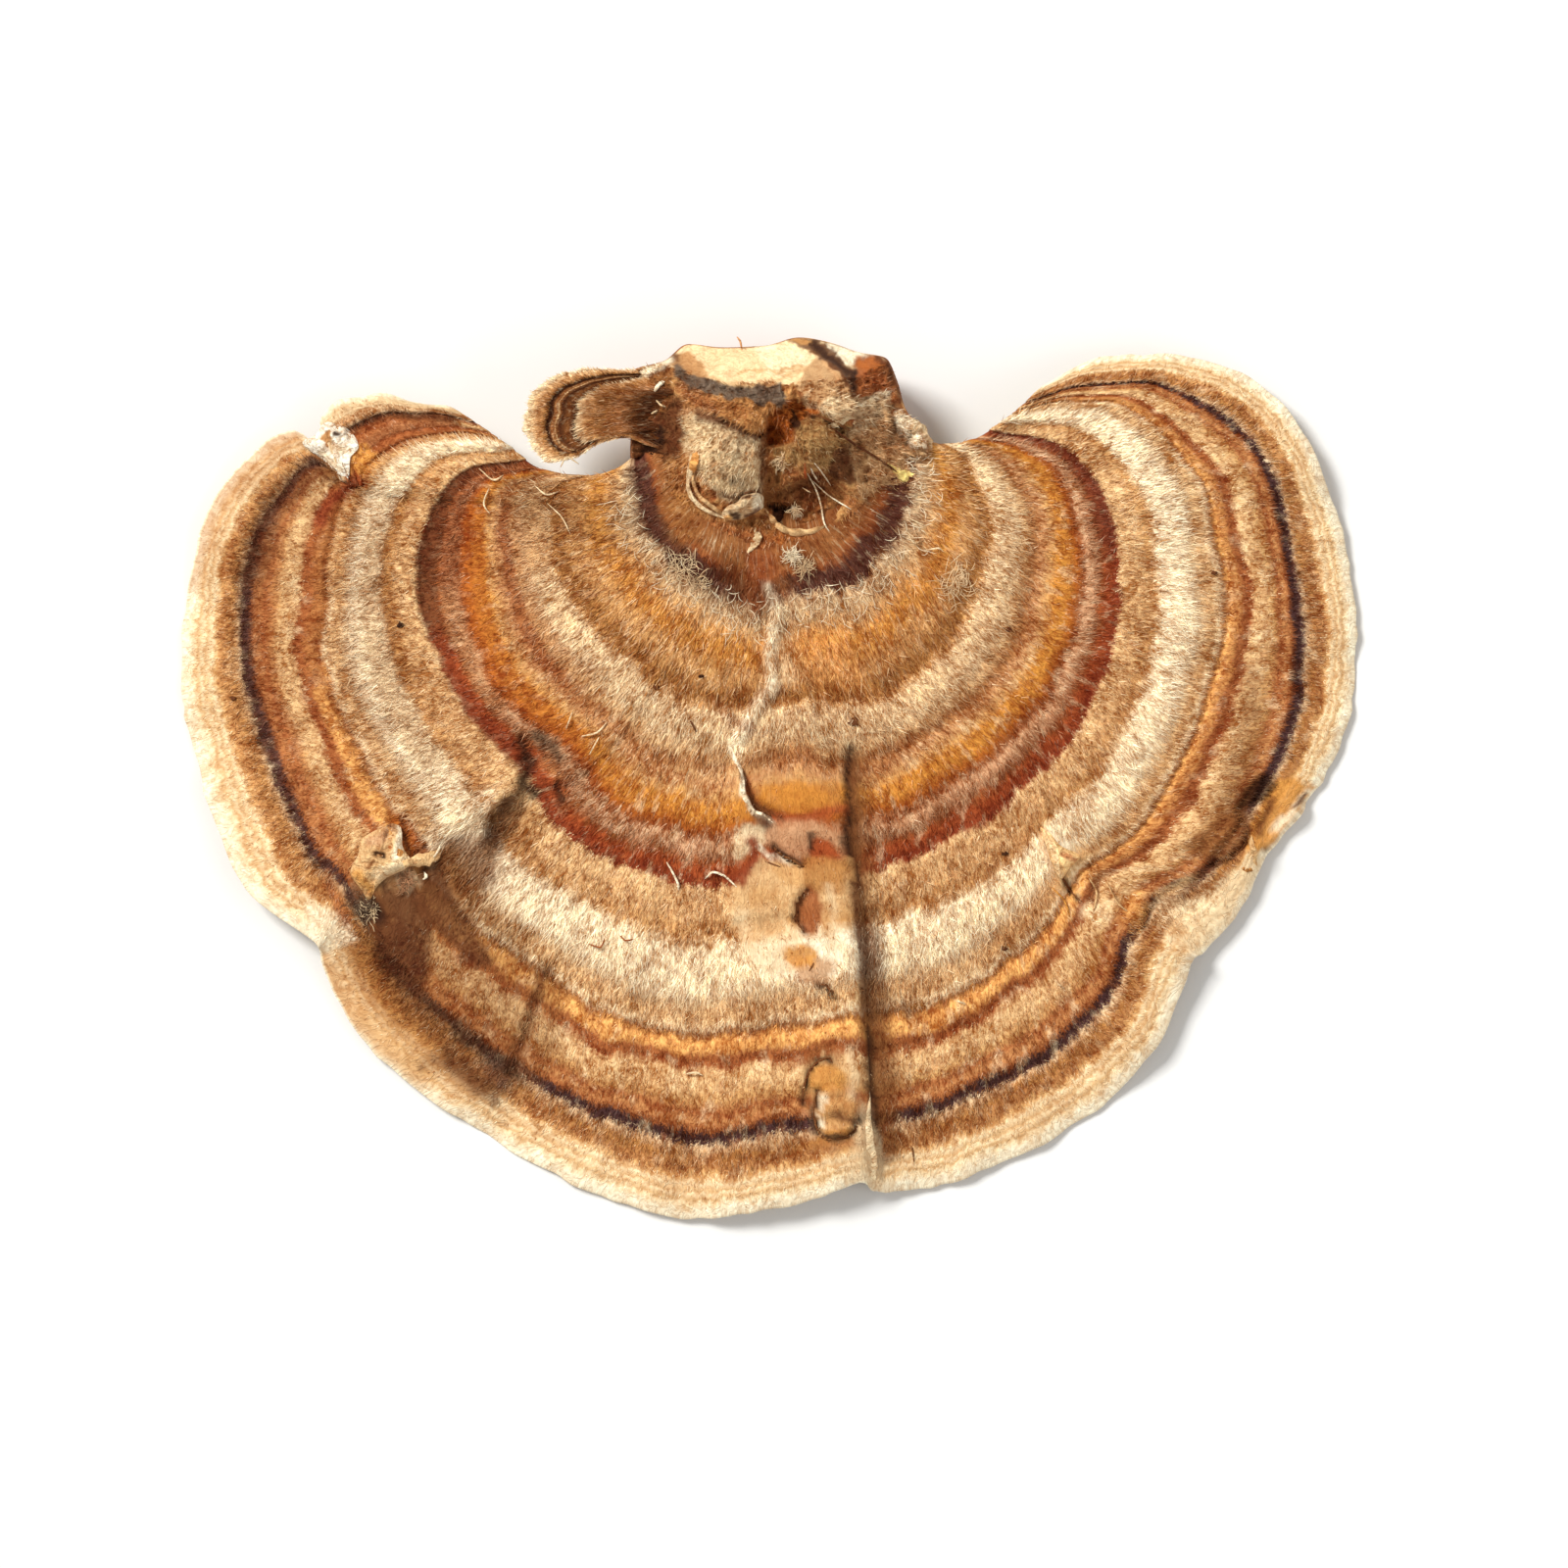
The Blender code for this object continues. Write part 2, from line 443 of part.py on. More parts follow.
def build_fan(material):
    """The fan, from the core line under the stump out to the margin."""
    points = line_points()
    stations, length = line_stations(points)
    columns = column_positions(stations, length)
    top_rows = np.array([position for position, _ in ZONE_RELIEF] + [0.987])
    top_rows.sort()
    under_rows = np.array(UNDERSIDE_ROWS)

    places, levels = cap_rows(columns, top_rows, stations, points)
    levels = levels + radial_folds(columns, top_rows)
    levels += profile(ZONE_RELIEF, top_rows)[:, None] - margin_droop(top_rows)[:, None]
    levels += lumps(CAP_LUMPS, places[..., 0], places[..., 1])

    under_places, under_levels = cap_rows(columns, under_rows, stations, points)
    from_back = np.minimum(columns, 1 - columns) * length
    side_taper = 0.35 + 0.65 * soft_step(0.0, BACK_EDGE_WIDTH, from_back)
    thickness = profile(THICKNESS, under_rows)[:, None] * side_taper[None]
    under_levels = under_levels + radial_folds(columns, under_rows)
    under_levels -= margin_droop(under_rows)[:, None] + thickness
    sink = REST_SINK * soft_step(0.6, 0.88, under_rows) * (1 - soft_step(0.96, 1.0, under_rows))
    under_levels = np.maximum(under_levels - sink[:, None], 0.0)
    margin_top = levels[-1] - THICKNESS_AT_MARGIN
    under_levels[-1] = np.maximum(np.minimum(under_levels[-1], margin_top), 0.05)

    core = np.array([np.interp(columns, (0.0, 1.0), (CORE_LINE[0][axis], CORE_LINE[1][axis]))
                     for axis in (0, 1)]).T
    top = np.dstack([places, levels])
    under = np.dstack([under_places, under_levels])
    core_top = np.column_stack([core, np.full(len(columns), CORE_HEIGHT)])
    core_under = np.column_stack([core, np.full(len(columns), CORE_HEIGHT - THICKNESS_AT_CORE)])
    top = np.concatenate([core_top[None], top])
    under = np.concatenate([core_under[None], under])
    top_at = np.concatenate([[-0.1], top_rows])
    under_at = np.concatenate([[-0.1], under_rows])
    vertices, faces = sheet_solid(top, top_at, under, under_at, columns)
    return make_object("cap", vertices, faces, material)


def stump_height(x, y):
    """Top surface of the stump: a block that falls away to the cap at its front and sides."""
    back = soft_step(*STUMP_FRONT_SLOPE, y)
    middle = 1 - soft_step(*STUMP_SIDE_SLOPE, np.abs(x - STUMP_MIDDLE[0]))
    rise = (STUMP_TOP - STUMP_SHOULDER) * back * middle
    return STUMP_SHOULDER + rise + lumps(STUMP_LUMPS, x, y)


def build_stump(material):
    """The torn stump, cut off flat at its back where it grew from the log."""
    outline = closed_curve(STUMP_OUTLINE, STUMP_SIDES)
    middle = np.array(STUMP_MIDDLE)
    vertices = [(*middle, float(stump_height(*middle)))]
    loops = []
    for ring in range(1, STUMP_RINGS + 1):
        places = middle + (outline - middle) * math.sqrt(ring / STUMP_RINGS)
        heights = stump_height(places[:, 0], places[:, 1])
        if ring == STUMP_RINGS:
            heights = heights - STUMP_RIM_DROP
        loops.append(range(len(vertices), len(vertices) + STUMP_SIDES))
        vertices += [(*place, height) for place, height in zip(places, heights)]
    rim_heights = heights
    for level, width in STUMP_WALL:
        places = middle + (outline - middle) * width
        loops.append(range(len(vertices), len(vertices) + STUMP_SIDES))
        vertices += [(*place, height * level) for place, height in zip(places, rim_heights)]
    places = middle + (outline - middle) * STUMP_FOOT_SHRINK
    loops.append(range(len(vertices), len(vertices) + STUMP_SIDES))
    vertices += [(*place, 0.0) for place in places]
    faces = []
    for side in range(STUMP_SIDES):
        faces.append((0, loops[0][side], loops[0][(side + 1) % STUMP_SIDES]))
    for inner, outer in zip(loops[:-1], loops[1:]):
        for side in range(STUMP_SIDES):
            after = (side + 1) % STUMP_SIDES
            faces.append((inner[side], outer[side], outer[after]))
            faces.append((inner[side], outer[after], inner[after]))
    faces.append(tuple(loops[-1]))
    stump = make_object("stump_guide", np.array(vertices), faces, material)
    cut_flat(stump, CUT_POINT, (0.0, math.sin(CUT_TILT), math.cos(CUT_TILT)))
    return stump


def cut_flat(target, point, normal):
    """Cuts what lies beyond a plane off a solid and closes it with one flat face."""
    build = bmesh.new()
    build.from_mesh(target.data)
    geometry = build.verts[:] + build.edges[:] + build.faces[:]
    cut = bmesh.ops.bisect_plane(build, geom=geometry, plane_co=Vector(point) * MM * SCALE,
                                 plane_no=Vector(normal), clear_outer=True)
    edges = [item for item in cut["geom_cut"] if isinstance(item, bmesh.types.BMEdge)]
    filled = bmesh.ops.holes_fill(build, edges=edges)
    for face in filled["faces"]:
        face.smooth = False
    bmesh.ops.recalc_face_normals(build, faces=build.faces)
    build.to_mesh(target.data)
    build.free()


def build_side_bracket(material):
    """The small hooked bracket that grew from the stump's left side."""
    points = np.array([line for _, line in SIDE_LINES])
    heights = np.array([ends for ends, _ in SIDE_LINES])
    stations = np.linspace(0.0, 1.0, len(points))
    columns = np.linspace(0.0, 1.0, SIDE_COLUMNS)
    rows = np.array([position for position, _ in SIDE_RELIEF])
    on_rings = smooth_between(stations, points, columns)
    places = smooth_between(SIDE_GROWTH, on_rings.transpose(1, 0, 2), rows)
    ends = smooth_between(stations, heights, columns)
    levels = ends[None, :, 0] + (ends[None, :, 1] - ends[None, :, 0]) * rows[:, None] ** 1.5
    top_levels = levels + profile(SIDE_RELIEF, rows)[:, None]
    side_taper = 0.5 + 0.5 * np.sin(math.pi * columns)
    thickness = profile(SIDE_THICKNESS, rows)[:, None] * side_taper[None]
    top = np.dstack([places, top_levels])
    under = np.dstack([places, levels - thickness])
    vertices, faces = sheet_solid(top, rows, under, rows, columns)
    return make_object("side_bracket_guide", vertices, faces, material)


def join_into(target, piece):
    """Makes the piece one body with the target and keeps it as a hidden guide."""
    piece.hide_render = True
    piece.display_type = "WIRE"
    union = target.modifiers.new("Join " + piece.name, "BOOLEAN")
    union.operation = "UNION"
    union.solver = "EXACT"
    union.object = piece


def surface_under(tree, x, y):
    """Height of the cap's top surface below a point, in millimetres."""
    start = Vector((x * MM * SCALE, y * MM * SCALE, 0.05))
    place, _, _, _ = tree.ray_cast(start, Vector((0.0, 0.0, -1.0)))
    return place.z / (MM * SCALE)


def build_husk(name, route, widths, tree, material):
    """A dry strip that follows the cap's surface just above it, with an arched cross-section."""
    centre = np.array(route)
    along = np.gradient(centre, axis=0)
    along /= np.linalg.norm(along, axis=1)[:, None]
    across = np.column_stack([-along[:, 1], along[:, 0]])
    offsets = (-0.5, 0.0, 0.5)
    bottom = []
    top = []
    for place, side, width in zip(centre, across, widths):
        spots = [place + side * width * offset for offset in offsets]
        floor = max(surface_under(tree, *spot) for spot in spots) + HUSK_GAP
        bottom.append([(*spot, floor) for spot in spots])
        lifts = (HUSK_EDGE, 1.0, HUSK_EDGE)
        top.append([(*spot, floor + HUSK_THICKNESS * lift) for spot, lift in zip(spots, lifts)])
    rows = np.arange(len(centre))
    vertices, faces = sheet_solid(np.array(top), rows, np.array(bottom), rows, np.array(offsets))
    return make_object(name, vertices, faces, material)


for leftover in list(bpy.data.objects):
    bpy.data.objects.remove(leftover, do_unlink=True)

cap_material = make_material("fungus_flesh", (0.50, 0.29, 0.13), 0.85)
husk_material = make_material("dry_husk", (0.62, 0.44, 0.22), 0.7)

cap = build_fan(cap_material)
join_into(cap, build_stump(cap_material))
join_into(cap, build_side_bracket(cap_material))
bpy.context.view_layer.update()
cap_tree = BVHTree.FromObject(cap, bpy.context.evaluated_depsgraph_get())
build_husk("dry_husk_left", LEFT_HUSK, LEFT_HUSK_WIDTHS, cap_tree, husk_material)
build_husk("dry_husk_right", RIGHT_HUSK, RIGHT_HUSK_WIDTHS, cap_tree, husk_material)
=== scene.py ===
import math

import bmesh
import bpy
import numpy as np
from mathutils.bvhtree import BVHTree
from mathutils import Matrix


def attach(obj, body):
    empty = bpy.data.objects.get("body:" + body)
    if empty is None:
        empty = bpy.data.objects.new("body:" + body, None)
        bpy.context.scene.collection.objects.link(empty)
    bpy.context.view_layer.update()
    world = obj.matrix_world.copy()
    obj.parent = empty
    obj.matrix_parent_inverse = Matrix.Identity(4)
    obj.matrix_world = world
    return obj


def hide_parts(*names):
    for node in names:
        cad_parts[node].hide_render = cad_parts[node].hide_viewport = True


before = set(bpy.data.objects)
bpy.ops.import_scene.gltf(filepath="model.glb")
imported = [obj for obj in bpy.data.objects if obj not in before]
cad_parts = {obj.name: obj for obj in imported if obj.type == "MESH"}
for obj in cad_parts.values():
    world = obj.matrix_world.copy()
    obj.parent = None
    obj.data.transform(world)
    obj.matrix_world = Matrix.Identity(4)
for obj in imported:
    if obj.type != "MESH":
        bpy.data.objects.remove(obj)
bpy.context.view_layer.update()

# The floor, the light and the camera. The fungus lies on a plain pale sheet under a broad soft
# light from the upper left, with a weaker fill from the right, and is seen from straight above.
MM = 0.001
FLOOR_SIDE = 1.6
SKY_STRENGTH = 0.44
CAMERA_HEIGHT = 0.8
VIEW_WIDTH = 0.0941
VIEW_MIDDLE = (0.00091, -0.00024)
SENSOR_WIDTH = 36.0


def linear(red, green, blue):
    """A colour given as 0 to 255 display values, turned into the shader's linear values."""
    parts = [value / 255 for value in (red, green, blue)]
    return tuple(part / 12.92 if part <= 0.04045 else ((part + 0.055) / 1.055) ** 2.4
                 for part in parts)


def plain_material(name, colour, roughness):
    material = bpy.data.materials.new(name)
    material.use_nodes = True
    shader = material.node_tree.nodes["Principled BSDF"]
    shader.inputs["Base Color"].default_value = (*colour, 1.0)
    shader.inputs["Roughness"].default_value = roughness
    return material


def placed(name, data):
    """A new object of the scene: a mesh, a lamp or the camera."""
    item = bpy.data.objects.new(name, data)
    bpy.context.scene.collection.objects.link(item)
    return item


def soft_lamp(name, place, side, power, tint):
    """A square area light at a place, turned towards the middle of the floor."""
    lamp = bpy.data.lights.new(name, "AREA")
    lamp.shape = "SQUARE"
    lamp.size = side
    lamp.energy = power
    lamp.color = tint
    holder = placed(name, lamp)
    holder.location = place
    away = np.array(place) / np.linalg.norm(place)
    holder.rotation_euler = (math.acos(away[2]), 0.0, math.atan2(away[1], away[0]) + math.pi / 2)


half = FLOOR_SIDE / 2
pale_sheet = bpy.data.meshes.new("floor")
pale_sheet.from_pydata([(half * x, half * y, 0.0) for x, y in ((-1, -1), (1, -1), (1, 1), (-1, 1))],
                       [], [(0, 1, 2, 3)])
pale_sheet.materials.append(plain_material("pale_sheet", linear(236, 235, 232), 0.9))
floor = placed("floor", pale_sheet)

world = bpy.data.worlds.new("studio")
world.use_nodes = True
sky = world.node_tree.nodes["Background"].inputs
sky["Color"].default_value = (1.0, 1.0, 1.0, 1.0)
sky["Strength"].default_value = SKY_STRENGTH
bpy.context.scene.world = world
soft_lamp("main_light", (-0.54, 0.48, 0.83), 0.32, 12.4, (0.98, 0.98, 0.97))
soft_lamp("fill_light", (0.5, -0.2, 0.5), 0.5, 1.1, (0.97, 0.98, 1.0))
bpy.context.scene.view_settings.view_transform = "Standard"

camera = bpy.data.cameras.new("camera")
camera.sensor_width = SENSOR_WIDTH
camera.lens = SENSOR_WIDTH * CAMERA_HEIGHT / VIEW_WIDTH
camera.clip_start = 0.01
eye = placed("camera", camera)
eye.location = (*VIEW_MIDDLE, CAMERA_HEIGHT)
bpy.context.scene.camera = eye

# The cap's fan: one thin sheet of tough flesh that grew outward in rings, with velvety and silky
# zones above and a pale layer of pores below. It grew in one piece with the stump and the bracket.
# The drawn rings are those of the solid: how far out each lies, from the stump (0) to the margin.
GROWTH = (0.0, 0.08, 0.24, 0.44, 0.52, 0.73, 0.88, 1.0)
HEIGHT_GROWTH = (0.0, 0.08, 0.44, 0.73, 1.0)
CORE_HEIGHT = 6.4
CORE_LINE = ((-5.0, 20.1), (5.0, 20.1))

# Radial lines from the left back edge round the front to the right back edge. Each has its top
# heights at growth 0.44, 0.73 and 1, in millimetres, then x and y of its points on the rings, in
# tenths of a millimetre like all drawn places below. Two lines close together are the two sides of
# a tear, a notch or the fold.
RADIAL_LINES = (
    ("left back edge", (4.6, 4.2, 3.6), (-64, 199, -79, 188, -111, 181, -140, 186, -148, 192, -163, 204,
     -177, 214, -191, 223)),
    ("small lobe 1", (4.6, 4.1, 3.2), (-61, 194, -79, 182, -123, 178, -151, 184, -160, 190, -184, 207, -200,
     219, -210, 225)),
    ("small lobe 2", (4.5, 4.0, 2.9), (-59, 189, -79, 178, -130, 175, -166, 181, -174, 189, -209, 205, -225,
     219, -233, 230)),
    ("small lobe 3", (4.4, 3.8, 2.9), (-57, 185, -79, 172, -133, 170, -175, 175, -189, 181, -231, 195, -247,
     211, -257, 226)),
    ("tear, right side", (4.3, 3.7, 3.1), (-55, 180, -78, 168, -134, 166, -179, 169, -195, 172, -242, 183,
     -257, 201, -267, 212)),
    ("tear, inner end", (4.2, 3.5, 3.3), (-55, 178, -78, 166, -134, 164, -180, 167, -196, 169, -242, 176,
     -249, 176, -254, 178)),
    ("tear, left side", (4.2, 3.2, 2.2), (-54, 177, -77, 165, -134, 162, -181, 165, -199, 166, -250, 174,
     -269, 189, -284, 209)),
    ("left lobe 1", (4.2, 3.0, 1.7), (-52, 174, -76, 161, -134, 155, -184, 154, -204, 154, -257, 159, -291,
     171, -318, 185)),
    ("left lobe 2", (4.1, 2.7, 1.3), (-50, 169, -74, 155, -131, 141, -185, 136, -209, 134, -263, 136, -307,
     142, -340, 146)),
    ("left lobe 3", (4.0, 2.4, 0.9), (-48, 164, -70, 148, -126, 126, -184, 114, -210, 114, -266, 114, -313,
     112, -347, 111)),
    ("left lobe 4", (4.0, 2.2, 0.8), (-45, 159, -65, 141, -118, 111, -180, 88, -204, 86, -267, 83, -315, 80,
     -351, 73)),
    ("left lobe 5", (4.1, 2.2, 0.8), (-41, 155, -59, 134, -107, 94, -169, 62, -194, 61, -261, 54, -310, 51,
     -349, 42)),
    ("left lobe 6", (4.2, 2.5, 1.1), (-37, 151, -51, 128, -93, 79, -153, 44, -180, 38, -250, 26, -300, 20,
     -340, 7)),
    ("left lobe 7", (4.3, 3.0, 1.7), (-33, 148, -45, 122, -82, 68, -134, 27, -163, 19, -236, -2, -288, -14,
     -330, -25)),
    ("left lobe 8", (4.4, 3.6, 2.5), (-30, 146, -40, 119, -75, 62, -122, 16, -151, 6, -225, -19, -272, -43,
     -312, -64)),
    ("left notch, upper side", (4.4, 3.9, 3.0), (-28, 145, -36, 117, -69, 58, -113, 8, -144, -4, -216, -33,
     -254, -58, -270, -98)),
    ("left notch, lower side", (4.0, 2.8, 1.7), (-27, 144, -34, 116, -67, 56, -110, 3, -140, -11, -204, -57,
     -234, -92, -268, -106)),
    ("middle lobe 1", (4.0, 2.6, 1.4), (-24, 143, -31, 114, -61, 53, -103, -6, -130, -26, -184, -84, -214,
     -123, -250, -144)),
    ("middle lobe 2", (4.1, 2.4, 1.0), (-21, 142, -27, 112, -54, 49, -91, -18, -113, -40, -156, -105, -177,
     -156, -214, -181)),
    ("middle lobe 3", (4.2, 2.3, 0.8), (-18, 140, -22, 109, -44, 46, -75, -27, -92, -52, -122, -124, -138,
     -182, -169, -212)),
    ("middle lobe 4", (4.4, 2.4, 0.8), (-13, 138, -15, 106, -31, 44, -53, -33, -64, -62, -81, -146, -91,
     -204, -107, -245)),
    ("middle lobe 5", (4.6, 2.9, 1.3), (-9, 136, -7, 102, -17, 43, -30, -36, -34, -66, -40, -154, -43, -215,
     -47, -262)),
    ("middle lobe 6", (4.9, 3.5, 2.0), (-4, 135, 0, 105, -1, 44, -3, -32, -3, -61, 1, -149, 0, -209, 3,
     -256)),
    ("fold, high side", (5.3, 4.2, 2.8), (3, 136, 9, 109, 22, 44, 36, -28, 40, -57, 49, -140, 51, -202, 56,
     -241)),
    ("fold, low side", (4.4, 3.0, 1.6), (7, 136, 15, 110, 30, 44, 51, -26, 56, -59, 61, -141, 64, -204, 63,
     -245)),
    ("middle lobe 7", (4.2, 2.7, 1.1), (14, 139, 24, 113, 46, 45, 75, -21, 81, -51, 91, -136, 94, -199, 94,
     -243)),
    ("middle lobe 8", (4.2, 2.4, 0.8), (21, 142, 36, 115, 63, 48, 102, -9, 111, -38, 128, -119, 136, -180,
     146, -225)),
    ("middle lobe 9", (4.2, 2.5, 0.9), (28, 146, 48, 118, 78, 55, 123, 4, 134, -24, 154, -102, 173, -158,
     196, -197)),
    ("middle lobe 10", (4.3, 2.9, 1.6), (33, 151, 57, 124, 90, 63, 137, 14, 150, -11, 171, -81, 200, -132,
     233, -156)),
    ("right notch, left side", (4.4, 3.5, 2.4), (36, 153, 62, 129, 96, 68, 145, 22, 160, -2, 180, -64, 214,
     -98, 254, -105)),
    ("right notch, right side", (4.2, 3.0, 1.7), (37, 155, 64, 131, 99, 71, 149, 25, 164, 2, 187, -54, 230,
     -72, 259, -103)),
    ("right lobe 1", (4.2, 2.8, 1.4), (40, 158, 68, 136, 105, 76, 155, 34, 172, 9, 206, -42, 259, -55, 281,
     -78)),
    ("right lobe 2", (4.1, 2.5, 1.0), (43, 161, 72, 142, 113, 87, 165, 47, 184, 26, 229, -19, 287, -18, 304,
     -33)),
    ("right lobe 3", (4.0, 2.2, 0.8), (46, 166, 76, 149, 121, 102, 175, 64, 197, 53, 249, 19, 305, 16, 333,
     2)),
    ("right lobe 4", (4.0, 2.2, 0.8), (49, 171, 80, 157, 127, 119, 183, 83, 207, 81, 266, 60, 316, 58, 349,
     49)),
    ("right lobe 5", (4.0, 2.3, 0.8), (51, 175, 83, 166, 131, 136, 188, 107, 211, 108, 273, 96, 318, 95,
     351, 94)),
    ("right lobe 6", (4.1, 2.7, 1.1), (53, 179, 84, 174, 133, 150, 188, 132, 210, 139, 268, 138, 311, 139,
     346, 139)),
    ("right lobe 7", (4.2, 3.2, 1.7), (54, 184, 84, 181, 130, 165, 184, 159, 204, 162, 260, 174, 301, 178,
     333, 176)),
    ("right lobe 8", (4.3, 3.6, 2.3), (55, 187, 84, 186, 126, 176, 176, 178, 193, 183, 243, 198, 283, 207,
     309, 221)),
    ("right lobe 9", (4.3, 3.6, 2.4), (56, 190, 83, 189, 122, 185, 166, 191, 180, 197, 224, 216, 257, 226,
     275, 246)),
    ("right lobe 10", (4.3, 3.6, 2.5), (56, 193, 83, 192, 117, 192, 153, 198, 164, 205, 201, 226, 224, 238,
     236, 254)),
    ("right lobe 11", (4.4, 3.8, 2.9), (57, 196, 84, 195, 113, 196, 140, 202, 149, 207, 174, 226, 189, 236,
     200, 252)),
    ("right back edge", (4.6, 4.2, 3.5), (57, 198, 86, 198, 107, 199, 127, 204, 134, 209, 147, 219, 155,
     226, 162, 234)),
)


# The colours of dried flesh and hair, as display values
BARE = linear(158, 96, 50)
PLUM = linear(96, 52, 38)
FRINGE = linear(212, 170, 126)
HONEY = linear(218, 172, 118)
GOLDEN = linear(212, 144, 66)
TAN = linear(206, 150, 90)
BROWN = linear(178, 118, 60)
PALE = linear(238, 206, 160)
WARM_TAN = linear(220, 173, 118)
HAZEL = linear(186, 124, 72)
PINK_CREAM = linear(204, 146, 96)
AMBER = linear(200, 127, 50)
DEEP_AMBER = linear(174, 90, 28)
COCOA = linear(158, 85, 42)
GREY_PINK = linear(196, 143, 102)
RUST = linear(170, 78, 36)
DARK_RUST = linear(136, 56, 26)
CREAM = linear(252, 232, 196)
BISCUIT = linear(224, 190, 145)
ORANGE = linear(228, 162, 90)
CHESTNUT = linear(166, 93, 48)
INK = linear(78, 46, 42)
IVORY = linear(246, 214, 166)
UMBER = linear(98, 53, 26)
SHADE = linear(58, 30, 14)
FOX = linear(134, 80, 38)
SOOT = linear(104, 82, 64)
ASH = linear(194, 160, 120)


